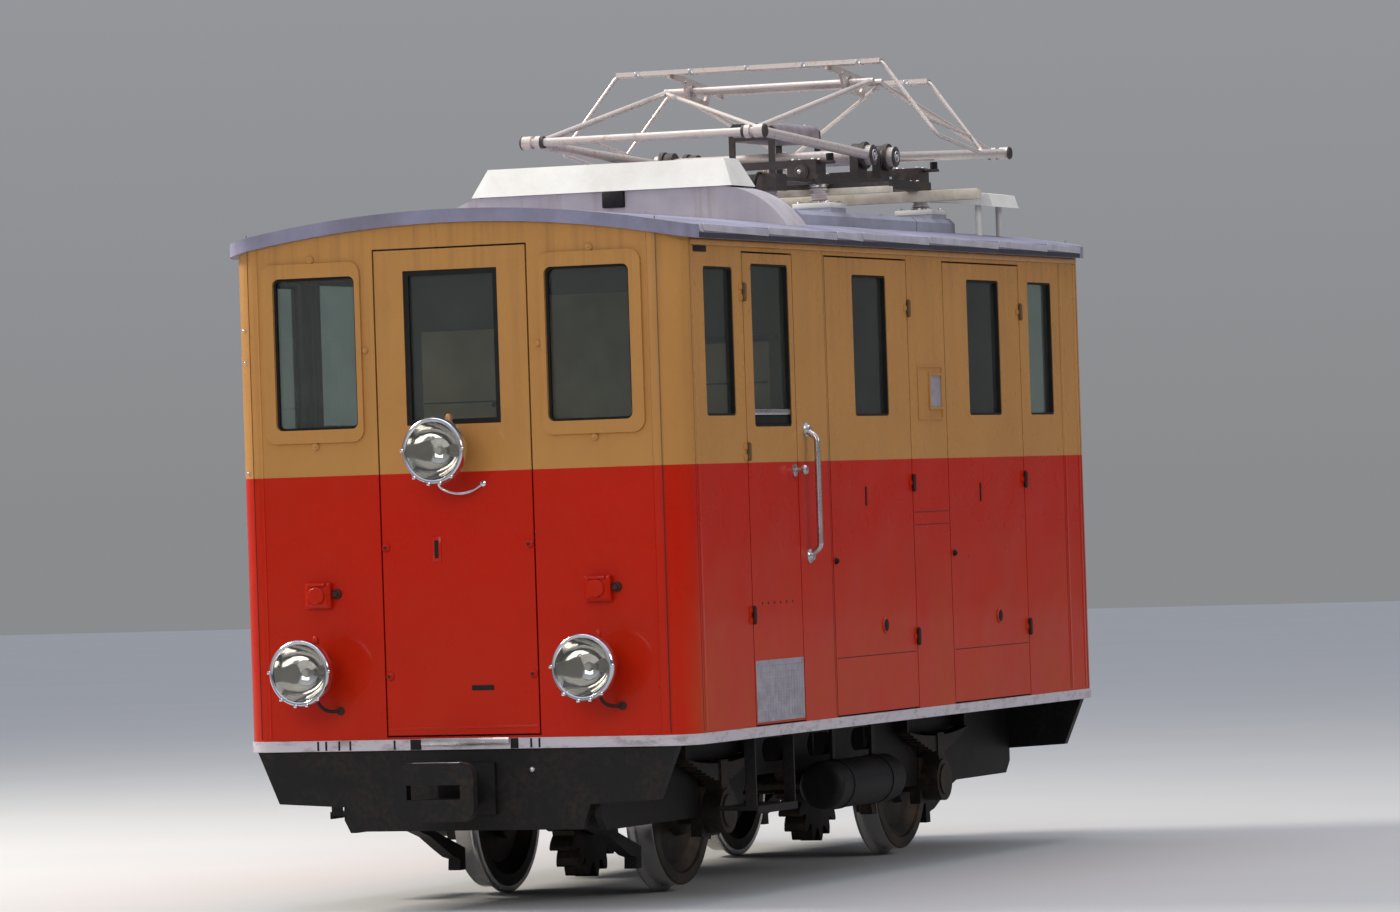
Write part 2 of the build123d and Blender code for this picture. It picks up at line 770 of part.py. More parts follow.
def rear_hood():
    """Ventilator lid, arched like the roof, on four posts."""
    y = (deep(rear_hood_front), deep(rear_hood_front + rear_hood_length))
    lift = rear_hood_under - roof_under
    z = (roof_line(rear_hood_half, lift), above(rear_hood_under + rear_hood_height))
    top_half = rear_hood_half - rear_hood_rake
    profile = Polyline((-rear_hood_half, z[0]), (rear_hood_half, z[0]), (top_half, z[1]), (-top_half, z[1]), (-rear_hood_half, z[0]))
    lid = Pos(0, y[1], 0) * extrude(Plane.XZ * make_face(profile), y[1] - y[0])
    lid = (lid & under_arch(lift + rear_hood_height)) - under_arch(lift)
    for x in (-rear_hood_half + 95, rear_hood_half - 95):
        for depth in (y[0] + 40, y[1] - 40):
            lid += rod((x, depth, roof_line(x, 0)), (x, depth, roof_line(x, lift) + 10), post_radius)
    return lid - under_arch(roof_thickness + seat_gap)


def plinths():
    """Low boxes along both sides of the roof, with the seats of the pantograph's insulators."""
    pieces = []
    y_mid = deep(panto_middle)
    spans = ((plinth_front, plinth_joint - 5, -insulator_reach), (plinth_joint + 5, plinth_end, insulator_reach))
    for near, far, reach in spans:
        box = block((plinth_in, plinth_out), (y_mid + near, y_mid + far), (above(roof_under), above(plinth_top)))
        box = chamfer(box.edges().filter_by(Axis.Y).sort_by(Axis.Z)[-2:], plinth_chamfer)
        x = widened((plinth_in, plinth_out), -plinth_chamfer)
        y = widened((y_mid + reach, y_mid + reach), seat_length / 2)
        box += block(x, y, (above(plinth_top) - 1, above(plinth_top + seat_height)))
        box = box - under_arch(roof_thickness + seat_gap)
        pieces += [box, left_of(box)]
    return Compound(children=pieces)


def insulator(x, y, low, high):
    """Ribbed insulator between two heights."""
    rib_count = round((high - low) / 30)
    cap = insulator_core + 11
    pitch = (high - low - 24) / rib_count
    points = [(0, low), (cap, low), (cap, low + 12)]
    for rib in range(rib_count):
        foot = low + 12 + rib * pitch
        points += [(insulator_core, foot + 0.2 * pitch), (insulator_radius, foot + 0.35 * pitch)]
        points += [(insulator_radius, foot + 0.6 * pitch), (insulator_core, foot + 0.85 * pitch)]
    points += [(cap, high - 12), (cap, high), (0, high), (0, low)]
    return Pos(x, y, 0) * revolve(make_face(Plane.XZ * Polyline(*points)), Axis.Z)


def insulators():
    """Four insulators under the pantograph's base and two posts under its cable terminals."""
    low = above(plinth_top + seat_height)
    high = low + insulator_height
    y_mid = deep(panto_middle)
    pieces = []
    for x in (-insulator_x, insulator_x):
        for reach in (-insulator_reach, insulator_reach):
            pieces.append(insulator(x, y_mid + reach, low, high))
        post = insulator(x, y_mid - terminal_reach, above(roof_under), high - terminal_drop)
        pieces.append(post - under_arch(roof_thickness + seat_gap))
    return Compound(children=pieces)


def pantograph_base():
    """Frame on the insulators: rails, cross beams, corner blocks, bearings of both shafts and the spring housing."""
    low = above(plinth_top + seat_height) + insulator_height
    high = low + base_rail
    y_mid = deep(panto_middle)
    end = insulator_reach + 80
    frame = None
    for x in (-insulator_x, insulator_x):
        rail = block(widened((x, x), 30), (y_mid - end, y_mid + end), (low, high))
        frame = rail if frame is None else frame + rail
        frame += block(widened((x, x), 10), (y_mid - terminal_reach, y_mid - end), (low + 5, low + 25))
        terminal = widened((y_mid - terminal_reach, y_mid - terminal_reach), terminal_length / 2)
        z = (low - terminal_drop, low - terminal_drop + terminal_height)
        frame += block(widened((x, x), terminal_length / 2), terminal, z)
    for reach in (-insulator_reach, -cross_reach, cross_reach, insulator_reach):
        frame += block((-insulator_x, insulator_x), widened((y_mid + reach, y_mid + reach), 25), (low + 5, high - 5))
    for side in (-1, 1):
        y = y_mid + side * beam_reach
        frame += block((-beam_half, beam_half), widened((y, y), beam_size / 2), (low - beam_size, low + 1))
        face = y_mid + side * end
        y = sorted((face, face - side * corner_length))
        for x in ((-corner_out, -corner_in), (corner_in, corner_out)):
            frame += block(x, y, (low, low + corner_height))
            boss = ((x[0] + x[1]) / 2, face - side * 10, high + 11)
            frame += rod(boss, (boss[0], face + side * 16, boss[2]), boss_radius)
        y = sorted((face - side * 40, face - side * 80))
        frame += block((-corner_out, corner_out), y, (low + corner_height - bar_thickness, low + corner_height))
    for reach in (-shaft_offset, shaft_offset):
        for x in (-insulator_x, insulator_x):
            y = y_mid + reach
            z = above(shaft_height)
            edges = widened((x, x), bearing_width / 2)
            bearing = block(edges, (y - bearing_radius, y + bearing_radius), (high - 2, z))
            bearing += rod((edges[0], y, z), (edges[1], y, z), bearing_radius)
            bearing -= rod((edges[0] - 5, y, z), (edges[1] + 5, y, z), shaft_radius + running_gap)
            frame += bearing
    z = high + housing_rise
    span = (y_mid - housing_length / 2, y_mid + housing_length / 2)
    housing = block((-housing_half, housing_half), span, (z, z + housing_height))
    frame += chamfer(housing.edges().filter_by(Axis.Y).sort_by(Axis.Z)[-2:], 24)
    for y in ((span[0], span[0] + 15), (span[1] - 15, span[1])):
        for x in ((-housing_half, -housing_half + 30), (housing_half - 30, housing_half)):
            frame += block(x, y, (low + 5, z + 10))
    return frame


def lower_arms():
    """Lower arms of the front half with their shaft, its cams and the knuckle tube."""
    shaft = (deep(panto_middle - shaft_offset), above(shaft_height))
    knuckle = (deep(panto_middle - knuckle_offset), above(knuckle_height))
    piece = across(shaft_half, shaft[0], shaft[1], shaft_radius)
    piece += across(knuckle_half, knuckle[0], knuckle[1], knuckle_radius)
    cam = insulator_x + bearing_width / 2 + 6
    for side in (-1, 1):
        foot = shaft_half - lower_arm_inset
        head = knuckle_half - lower_arm_inset + 8
        piece += rod((side * foot, *shaft), (side * head, *knuckle), lower_arm_radius)
        piece += rod((side * (foot - lower_arm_radius), *shaft), (side * shaft_half, *shaft), 50)
        piece += rod((side * cam, *shaft), (side * (cam + cam_thickness), *shaft), cam_radius)
        piece += rod((side * (head - lower_arm_radius), *knuckle), (side * (knuckle_half + 6), *knuckle), eye_radius)
    return piece


def upper_arms():
    """Upper frame of the front half: eyes on the knuckle tube, arms, a diagonal brace and the top tube."""
    knuckle = (deep(panto_middle - knuckle_offset), above(knuckle_height))
    top = (deep(panto_middle - top_offset), above(top_height))
    foot = upper_arm_foot
    piece = across(top_half, top[0], top[1], top_radius)
    run = (top[0] - knuckle[0], top[1] - knuckle[1])
    low = (knuckle[0] + 0.08 * run[0], knuckle[1] + 0.08 * run[1])
    high = (knuckle[0] + 0.98 * run[0], knuckle[1] + 0.98 * run[1])
    for side in (-1, 1):
        piece += rod((side * foot, *knuckle), (side * foot, *top), upper_arm_radius)
        piece += rod((side * (foot - eye_width / 2), *knuckle), (side * (foot + eye_width / 2), *knuckle), eye_radius)
    piece += rod((foot, *low), (-foot, *high), brace_radius)
    piece -= across(knuckle_half, knuckle[0], knuckle[1], knuckle_radius + running_gap)
    return piece


def other_half(piece):
    """The same half of the pantograph, turned round to the other side of its middle line."""
    y_mid = deep(panto_middle)
    return Pos(0, y_mid, 0) * Rot(0, 0, 180) * Pos(0, -y_mid, 0) * piece


def carrier():
    """Carrier plate of the collector head with the bore of its pivot and the slot of the opened one, from the pivot."""
    under = pan_rise - pan_thickness / 2
    front = top_offset - pan_offset
    rear = top_offset + pan_offset
    step = pan_width / 2 + 2
    slot_y = 2 * top_offset
    slot_length = 2 * (top_radius + pivot_drift)
    slot_rise = top_offset * math.sin(math.radians(head_tilt))
    slot_end = slot_y + slot_length / 2 + carrier_edge
    seat = under - carrier_edge + 2
    outline = Polyline(
        (front - carrier_edge, seat), (-2 * carrier_foot, seat), (-carrier_foot, -carrier_foot), (slot_end, -carrier_foot),
        (slot_end + 35, seat), (rear + carrier_edge, seat), (rear + carrier_edge, under + 2), (rear - step, under + 2),
        (rear - step - 15, carrier_crown), (front + step + 15, carrier_crown), (front + step, under + 2),
        (front - carrier_edge, under + 2), (front - carrier_edge, seat),
    )
    plate = make_face(outline) - Circle(top_radius + running_gap)
    plate -= Pos(slot_y, slot_rise) * SlotOverall(slot_length, 2 * (top_radius + slot_rise + pivot_play))
    return extrude(Plane.YZ * plate, carrier_thickness / 2, both=True)


def collector_head():
    """Two contact pans with drooping horns of tube, on carriers that hang on the front top tube."""
    front = top_offset - pan_offset
    rear = top_offset + pan_offset
    z = pan_rise
    head = None
    for y in (front, rear):
        pan = Pos(0, y, z) * Box(2 * pan_half, pan_width, pan_thickness)
        head = pan if head is None else head + pan
    for x in (-carrier_x, carrier_x):
        head += Pos(x, 0, 0) * carrier()
    tip = z - horn_drop
    path = FilletPolyline(
        (pan_half - 60, front, z), (pan_half, front, z), (horn_half, front, tip),
        (horn_half, rear, tip), (pan_half, rear, z), (pan_half - 60, rear, z), radius=[60, 45, 45, 60],
    )
    horn = sweep(Plane(origin=path @ 0, z_dir=path % 0) * Circle(horn_radius), path=path)
    tie = (pan_half + tie_share * (horn_half - pan_half), z - tie_share * horn_drop)
    horn += rod((tie[0], front, tie[1]), (tie[0], rear, tie[1]), tie_radius)
    head += horn
    head += left_of(horn)
    return Pos(0, deep(panto_middle - top_offset), above(top_height)) * Rot(-head_tilt, 0, 0) * head


def bulkhead(depth):
    """Partition between a cab and the machine room."""
    half = half_width - wall
    y = deep(depth)
    wall_piece = block((-half, half), (y, y + bulkhead_thickness), (floor_top, above(roof_crest)))
    return wall_piece & under_arch(-seat_gap)


def motor():
    """Front traction motor, a plain block on the floor of the machine room."""
    body = block((-motor_half, motor_half), motor_span, (floor_top, floor_top + motor_height))
    return chamfer(body.edges().filter_by(Axis.X), motor_chamfer)


def desk():
    """Controller pedestal in the front cab with its hand wheel."""
    x = (desk_x[0] + desk_x[1]) / 2
    near, far = (depth + wall - half_length for depth in desk_depth)
    y = (near + far) / 2
    top = floor_top + desk_height
    z = top + hand_wheel_rise
    body = block(desk_x, (near, far), (floor_top, top))
    body = fillet(body.edges().filter_by(Axis.Z), desk_corner)
    body += rod((x, y, top), (x, y, z), column_radius)
    ring = Pos(x, y, z) * Torus(hand_wheel, hand_wheel_bar)
    spokes = rod((x - hand_wheel, y, z), (x + hand_wheel, y, z), spoke_radius)
    spokes += rod((x, y - hand_wheel, z), (x, y + hand_wheel, z), spoke_radius)
    return body + ring + spokes


def build():
    nodes = {}
    y_axle = wheelbase / 2
    for end, y in (("front", -y_axle), ("rear", y_axle)):
        right = Pos(0, y, 0) * wheel()
        nodes["wheels_" + end] = Compound(children=[right, left_of(right)])
        nodes["axle_" + end] = Pos(0, y, 0) * axle()
        nodes["rack_pinion_" + end] = Pos(0, y, 0) * pinion()
    four = [(y, side) for y in (-y_axle, y_axle) for side in (1, -1)]
    for name, maker in (("axle_boxes", axle_box), ("leaf_springs", leaf_spring)):
        right = maker()
        pieces = [Pos(0, y, 0) * (right if side > 0 else left_of(right)) for y, side in four]
        nodes[name] = Compound(children=pieces)
    nodes["main_frame"] = main_frame()
    nodes["headstocks"] = Compound(children=[headstock(), turned(headstock())])
    nodes["couplers"] = Compound(children=[coupler(), turned(coupler())])
    guards = [rail_guard(), left_of(rail_guard())]
    nodes["rail_guards"] = Compound(children=guards + [turned(guard) for guard in guards])
    nodes["brake_gear"] = Compound(children=[brake_set(), turned(brake_set())])
    nodes["cab_steps"] = Compound(children=[cab_step(), left_of(cab_step())])
    nodes["air_reservoirs"] = Compound(children=[air_reservoir(), left_of(air_reservoir())])

    nodes["sill_band"] = plan_ring(band_proud, (sill, band_top), wall)
    inner = RectangleRounded(body_width - 2 * wall, body_length - 2 * wall, corner_radius - wall)
    nodes["floor"] = Pos(0, 0, floor_under) * extrude(inner, floor_thickness)
    nodes["side_wall_right"] = side_wall()
    nodes["side_wall_left"] = left_of(nodes["side_wall_right"])
    nodes["end_wall_front"] = end_wall()
    nodes["end_wall_rear"] = turned(nodes["end_wall_front"])
    nodes["window_frames"] = Compound(
        children=[shape for one in (window_frame(), left_of(window_frame())) for shape in (one, turned(one))]
    )
    nodes["roof"] = roof()
    nodes["bulkheads"] = Compound(children=[bulkhead(depth) for depth in bulkheads])
    nodes["traction_motors"] = Compound(children=[motor(), turned(motor())])
    nodes["driver_desks"] = Compound(children=[desk(), turned(desk())])
    nodes["handrails"] = Compound(children=[handrail(), left_of(handrail())])

    panes = []
    for name, near, far, low, high in side_windows:
        glass = side_pane((deep(near), deep(far)), (above(low), above(high)))
        panes += [glass, left_of(glass)]
    front = end_pane((end_window_in, end_window_out), (above(end_window_low), above(end_window_high)), end_window_corner)
    for glass in (front, left_of(front)):
        panes += [glass, turned(glass)]
    nodes["body_glass"] = Compound(children=panes)

    for name, near, far, w_near, w_far, w_low, w_high, at_front, heights in side_doors:
        leaf = side_door(near, far, w_near, w_far, w_low, w_high, at_front, heights)
        glass = side_pane((deep(w_near), deep(w_far)), (above(w_low), above(w_high)))
        for side, change in (("right", lambda shape: shape), ("left", left_of)):
            nodes[name + "_" + side] = change(leaf)
            nodes[name + "_glass_" + side] = change(glass)
    door_glass = end_pane((-door_window_half, door_window_half), (above(door_window_low), above(door_window_high)), 4)
    top_place = Pos(0, -half_length, above(top_lamp_height))
    for end, change in (("front", lambda shape: shape), ("rear", turned)):
        nodes["end_door_" + end] = change(end_door())
        nodes["end_door_glass_" + end] = change(door_glass)
        nodes["door_lamp_" + end] = change(top_place * lamp_bowl())
        nodes["door_lamp_lens_" + end] = change(top_place * lamp_lens())
    low_places = [Pos(x, -half_length, above(lamp_height)) for x in (-lamp_x, lamp_x)]
    for name, maker in (("head_lamps", lamp_bowl), ("head_lamp_lenses", lamp_lens)):
        pieces = [place * maker() for place in low_places]
        nodes[name] = Compound(children=pieces + [turned(piece) for piece in pieces])

    nodes["roof_hood_front"] = front_hood()
    nodes["roof_hood_rear"] = rear_hood()
    nodes["roof_plinths"] = plinths()
    nodes["insulators"] = insulators()
    nodes["pantograph_base"] = pantograph_base()
    nodes["lower_arms_front"] = lower_arms()
    nodes["upper_arms_front"] = upper_arms()
    nodes["lower_arms_rear"] = other_half(lower_arms())
    nodes["upper_arms_rear"] = other_half(upper_arms())
    nodes["collector_head"] = collector_head()
    return nodes


os.makedirs("parts", exist_ok=True)
for name, shape in build().items():
    export_step(shape, "parts/" + name + ".step")
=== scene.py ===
import math
import bpy
import bmesh
from mathutils import Matrix, Vector


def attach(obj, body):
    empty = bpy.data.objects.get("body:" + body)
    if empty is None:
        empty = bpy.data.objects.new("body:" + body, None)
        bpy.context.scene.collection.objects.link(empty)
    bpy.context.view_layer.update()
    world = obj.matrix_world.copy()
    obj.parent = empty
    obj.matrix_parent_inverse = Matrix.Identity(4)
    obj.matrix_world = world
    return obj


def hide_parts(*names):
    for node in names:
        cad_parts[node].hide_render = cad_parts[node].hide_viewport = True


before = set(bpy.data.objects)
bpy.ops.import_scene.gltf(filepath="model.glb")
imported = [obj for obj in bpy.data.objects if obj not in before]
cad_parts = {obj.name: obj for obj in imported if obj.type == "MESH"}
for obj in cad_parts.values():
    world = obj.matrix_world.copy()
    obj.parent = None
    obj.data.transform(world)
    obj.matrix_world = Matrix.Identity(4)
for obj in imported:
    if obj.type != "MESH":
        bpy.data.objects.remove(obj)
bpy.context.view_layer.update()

# Main sizes, repeated from the part's source, in metres
HALF_W = 1.100
HALF_L = 2.640
CORNER = 0.146
SILL = 0.718
BAND = SILL + 0.048
PAINT_LINE = SILL + 1.234
AXLE_Y = 1.380
AXLE_Z = 0.368
HINGE_X = HALF_W + 0.010

# Directions, and the plane of the front wall
AHEAD = (0, -1, 0)
RIGHT = (1, 0, 0)
UP = (0, 0, 1)
FACE = -HALF_L


def deep(d):
    """Y of a point this far behind the front face."""
    return d - HALF_L


def above(h):
    """Z of a point this far above the sill."""
    return SILL + h


def depths(near, far):
    """Span in y between two depths."""
    return deep(near), deep(far)


def heights(low, high):
    """Span in z between two heights."""
    return above(low), above(high)


def about(middle, half):
    """The places this far below and above the middle, or the span between them."""
    return middle - half, middle + half


def add(name, data):
    """A new object in the scene."""
    made = bpy.data.objects.new(name, data)
    bpy.context.scene.collection.objects.link(made)
    return made


# A side's doors: near and far edge, window span along the side and in height, hinge line and hinge heights,
# all as depths behind the front face and heights above the sill
SIDE_DOORS = {
    "cab_door": (0.745, 1.335, (0.845, 1.285), (1.395, 2.130), 0.745, (0.550, 1.283, 2.000)),
    "engine_door_a": (1.730, 2.770, (2.070, 2.500), (1.440, 2.100), 2.770, (0.390, 1.120, 1.950)),
    "engine_door_b": (3.253, 4.300, (3.575, 4.020), (1.440, 2.100), 4.300, (0.390, 1.120, 1.950)),
}

# The pantograph: its middle, then the reach of its parts from there, and the head's place and tilt in degrees
PANTO_Y = deep(3.870)
SHAFT_REACH = 0.150
SHAFT_Z = above(2.737)
KNUCKLE_REACH = 1.650
KNUCKLE_Z = above(2.802)
INSULATOR_X = 0.500
INSULATOR_REACH = 0.680
BEAM_REACH = 0.605
END_BOLT_X = 0.445
END_BOLT_REACH = 0.776
END_BOLT_Z = above(2.641)
HEAD_Y = PANTO_Y - 0.060
HEAD_Z = above(3.105)
HEAD_TILT = 6.7


# Materials

class Nodes:
    """Short ways to build a node tree; colours are given as (r, g, b)."""

    def __init__(self, tree, coordinates):
        self.tree = tree
        self.place = tree.nodes.new("ShaderNodeTexCoord").outputs[coordinates]
        split = tree.nodes.new("ShaderNodeSeparateXYZ")
        tree.links.new(self.place, split.inputs[0])
        self.x, self.y, self.z = split.outputs

    def put(self, socket, value):
        if isinstance(value, bpy.types.NodeSocket):
            self.tree.links.new(value, socket)
        elif isinstance(value, tuple):
            socket.default_value = (*value, 1.0)
        else:
            socket.default_value = value

    def calc(self, operation, a, b=0.0):
        node = self.tree.nodes.new("ShaderNodeMath")
        node.operation = operation
        self.put(node.inputs[0], a)
        self.put(node.inputs[1], b)
        return node.outputs[0]

    def times(self, a, b):
        return self.calc("MULTIPLY", a, b)

    def plus(self, a, b):
        return self.calc("ADD", a, b)

    def distance(self, a, b):
        return self.calc("SQRT", self.plus(self.times(a, a), self.times(b, b)))

    def noise(self, scale, detail=3.0, stretch=(1, 1, 1), rough=0.5):
        mapping = self.tree.nodes.new("ShaderNodeMapping")
        mapping.inputs["Scale"].default_value = stretch
        self.tree.links.new(self.place, mapping.inputs[0])
        node = self.tree.nodes.new("ShaderNodeTexNoise")
        node.inputs["Scale"].default_value = scale
        node.inputs["Detail"].default_value = detail
        node.inputs["Roughness"].default_value = rough
        self.tree.links.new(mapping.outputs[0], node.inputs["Vector"])
        return node.outputs[0]

    def band(self, value, low, high):
        """0 below low, 1 above high; low may be the larger."""
        node = self.tree.nodes.new("ShaderNodeMapRange")
        self.put(node.inputs["Value"], value)
        node.inputs["From Min"].default_value = low
        node.inputs["From Max"].default_value = high
        return node.outputs[0]

    def mix(self, amount, a, b):
        node = self.tree.nodes.new("ShaderNodeMix")
        node.data_type = "RGBA"
        self.put(node.inputs[0], amount)
        self.put(node.inputs[6], a)
        self.put(node.inputs[7], b)
        return node.outputs[2]


class Paint(Nodes):
    """A material: the shader's constant sockets, then textures in the object's own coordinates."""

    def __init__(self, name, **sockets):
        self.material = bpy.data.materials.new(name)
        self.material.use_nodes = True
        super().__init__(self.material.node_tree, "Object")
        self.shader = self.tree.nodes["Principled BSDF"]
        for key, value in sockets.items():
            self.shader.inputs[key.replace("_", " ")].default_value = value

    def color(self, value):
        self.put(self.shader.inputs["Base Color"], value)

    def rough(self, value):
        self.put(self.shader.inputs["Roughness"], value)

    def bump(self, *layers):
        """Each layer is a height texture and its depth in metres."""
        last = None
        for height, depth in layers:
            node = self.tree.nodes.new("ShaderNodeBump")
            node.inputs["Strength"].default_value = 1.0
            node.inputs["Distance"].default_value = depth
            self.tree.links.new(height, node.inputs["Height"])
            if last is not None:
                self.tree.links.new(last, node.inputs["Normal"])
            last = node.outputs[0]
        self.tree.links.new(last, self.shader.inputs["Normal"])


RED = (0.50, 0.012, 0.002)
RED_WORN = (0.43, 0.020, 0.004)
CREAM = (0.50, 0.245, 0.073)
CREAM_WORN = (0.42, 0.200, 0.058)
# Orange-brown of the tint low on the walls
LOW_SIDE_TINT = (0.44, 0.080, 0.012)
SOOT_RUN = (0.20, 0.11, 0.05)
EGGSHELL = (0.20, 0.155, 0.10)
LID_WHITE = (0.80, 0.79, 0.74)
LID_WORN = (0.68, 0.66, 0.61)

# Where looks change: foot of the hood's lid, depth of the livery on the walls, inner edge of a wheel's tread
HOOD_RIM = above(2.528)
LIVERY_DEPTH = 0.025
TREAD_EDGE = 0.3375


def livery():
    """Red below, cream above, inner faces eggshell; streaks, an orange-brown tint low on the walls that is
    strongest on the sides, wavy sheet.
    """
    p = Paint("livery_enamel", Coat_Weight=0.18, Coat_Roughness=0.05, Specular_IOR_Level=0.12)
    upper = p.band(p.z, PAINT_LINE - 0.0008, PAINT_LINE + 0.0008)
    blotch = p.band(p.noise(1.7, 5, rough=0.62), 0.36, 0.68)
    streak = p.band(p.noise(1.0, 4, (26, 26, 0.9), 0.6), 0.46, 0.72)
    red = p.mix(p.times(blotch, 0.55), RED, RED_WORN)
    cream = p.mix(p.times(blotch, 0.5), CREAM, CREAM_WORN)
    coat = p.mix(upper, red, cream)
    grime = p.times(streak, p.band(p.z, above(1.2), above(2.3)))
    coat = p.mix(p.times(grime, 0.34), coat, SOOT_RUN)
    across, along = p.calc("ABSOLUTE", p.x), p.calc("ABSOLUTE", p.y)
    side = p.band(across, HALF_W - 0.055, HALF_W - 0.001)
    # Orange-brown tint low on the walls, strongest on the sides, where it also makes the coat rougher
    low = p.band(p.z, above(0.95), above(0.10))
    patch = p.band(p.noise(5.0, 5, (1, 1, 0.6), 0.65), 0.25, 0.75)
    dust = p.times(p.times(low, patch), p.plus(p.times(side, 0.62), 0.10))
    coat = p.mix(dust, coat, LOW_SIDE_TINT)
    over_x = p.calc("MAXIMUM", p.calc("SUBTRACT", across, HALF_W - CORNER), 0.0)
    over_y = p.calc("MAXIMUM", p.calc("SUBTRACT", along, HALF_L - CORNER), 0.0)
    skin = CORNER - LIVERY_DEPTH
    inner = p.band(p.distance(over_x, over_y), skin + 0.001, skin - 0.001)
    p.color(p.mix(inner, coat, EGGSHELL))
    p.rough(p.plus(p.times(dust, 0.4), p.band(p.noise(9, 4), -1.0, 4.2)))
    p.bump((p.noise(2.2, 1), 0.014), (p.noise(60, 2), 0.00005))
    return p.material


def plain(name, base, worn, rough, scale=6.0, fine=60.0, depth=0.0008, **sockets):
    """A coat with blotches, a change of gloss between two roughnesses and a fine grain."""
    p = Paint(name, **sockets)
    p.color(p.mix(p.band(p.noise(scale, 5, rough=0.6), 0.35, 0.68), base, worn))
    low, high = rough
    p.rough(p.band(p.noise(scale * 2, 4), -low / (high - low), (1 - low) / (high - low)))
    p.bump((p.noise(fine, 3), depth))
    return p.material


def sooted(name, base, dust_color, amount, rough=0.62, metal=0.0, **sockets):
    """Dark running-gear coat with brown brake dust and oily patches."""
    p = Paint(name, Metallic=metal, **sockets)
    grime = p.band(p.noise(5.5, 6, rough=0.65), 0.42, 0.70)
    fine = p.band(p.noise(38, 4), 0.35, 0.8)
    mask = p.times(p.times(grime, fine), amount)
    p.color(p.mix(mask, base, dust_color))
    p.rough(p.plus(p.times(mask, 0.3), rough - 0.15))
    p.bump((p.noise(70, 4), 0.0012))
    return p.material


def roof_coat():
    """Blue-grey roof paint with soot in patches and runs."""
    p = Paint("roof_coat", Specular_IOR_Level=0.25)
    soot = p.band(p.noise(2.2, 6, (1.0, 0.5, 1.0), 0.65), 0.38, 0.70)
    run = p.band(p.noise(1.0, 4, (2.5, 22, 1), 0.6), 0.45, 0.75)
    base = p.mix(soot, (0.30, 0.29, 0.41), (0.19, 0.18, 0.24))
    p.color(p.mix(p.times(run, 0.45), base, (0.13, 0.115, 0.12)))
    p.rough(p.band(p.noise(7, 4), -1.6, 1.6))
    p.bump((p.noise(45, 4), 0.0012), (p.noise(3, 2), 0.006))
    return p.material


def hood_coat():
    """White lid on a grey base that is streaked with rust."""
    p = Paint("hood_coat")
    lid = p.band(p.z, HOOD_RIM - 0.0005, HOOD_RIM + 0.0005)
    blotch = p.band(p.noise(4, 5, rough=0.6), 0.35, 0.68)
    run = p.times(p.band(p.noise(1.0, 4, (14, 14, 1.2), 0.6), 0.52, 0.74), 0.5)
    grey = p.mix(run, p.mix(blotch, (0.54, 0.50, 0.52), (0.43, 0.39, 0.42)), (0.28, 0.18, 0.13))
    p.color(p.mix(lid, grey, p.mix(blotch, LID_WHITE, LID_WORN)))
    p.rough(p.band(p.noise(8, 4), -1.2, 1.9))
    p.bump((p.noise(60, 3), 0.0008), (p.noise(3, 1), 0.004))
    return p.material


def strip_coat():
    """White sill strip, chipped and stained with rust and soot."""
    p = Paint("white_strip", Coat_Weight=0.15)
    stain = p.band(p.noise(9, 6, (1, 1, 2.5), 0.7), 0.50, 0.68)
    base = p.mix(p.noise(3, 4), (0.46, 0.42, 0.47), (0.60, 0.56, 0.60))
    p.color(p.mix(p.times(stain, 0.6), base, (0.15, 0.085, 0.06)))
    p.rough(0.42)
    p.bump((p.noise(60, 4), 0.0008))
    return p.material


def worn_steel(name, base, rust, rough):
    """Painted tube with spots of rust."""
    p = Paint(name, Metallic=0.45)
    spot = p.band(p.noise(24, 6, rough=0.7), 0.54, 0.76)
    p.color(p.mix(p.times(spot, 0.7), base, rust))
    p.rough(p.plus(p.times(spot, 0.35), rough))
    p.bump((p.noise(80, 3), 0.0006))
    return p.material


def wheel_steel():
    """Dark wheel with a bright running face."""
    p = Paint("wheel_steel", Metallic=0.7)
    grime = p.band(p.noise(6, 6, rough=0.65), 0.40, 0.70)
    dark = p.mix(grime, (0.035, 0.032, 0.030), (0.10, 0.070, 0.050))
    rise = p.calc("SUBTRACT", p.z, AXLE_Z)
    reach = p.calc("SUBTRACT", p.calc("ABSOLUTE", p.y), AXLE_Y)
    tread = p.band(p.distance(rise, reach), TREAD_EDGE, TREAD_EDGE + 0.0015)
    p.color(p.mix(tread, dark, (0.42, 0.41, 0.40)))
    p.rough(p.calc("SUBTRACT", 0.60, p.times(tread, 0.36)))
    p.bump((p.noise(70, 3), 0.0006))
    return p.material


def glazing():
    """Old float glass, a little green and uneven."""
    p = Paint("window_glass", Transmission_Weight=0.97, IOR=1.45, Coat_Weight=0.25)
    p.color(p.mix(p.band(p.noise(3, 4), 0.4, 0.7), (0.62, 0.70, 0.66), (0.52, 0.60, 0.56)))
    p.rough(p.band(p.noise(14, 5), -0.1, 28.0))
    p.bump((p.noise(3.0, 1), 0.0008))
    return p.material


LIVERY = livery()
ROOF = roof_coat()
STRIP = strip_coat()
HOOD = hood_coat()
WHEEL = wheel_steel()
GLASS = glazing()
TUBE = worn_steel("pantograph_tube", (0.64, 0.56, 0.52), (0.26, 0.16, 0.11), 0.34)

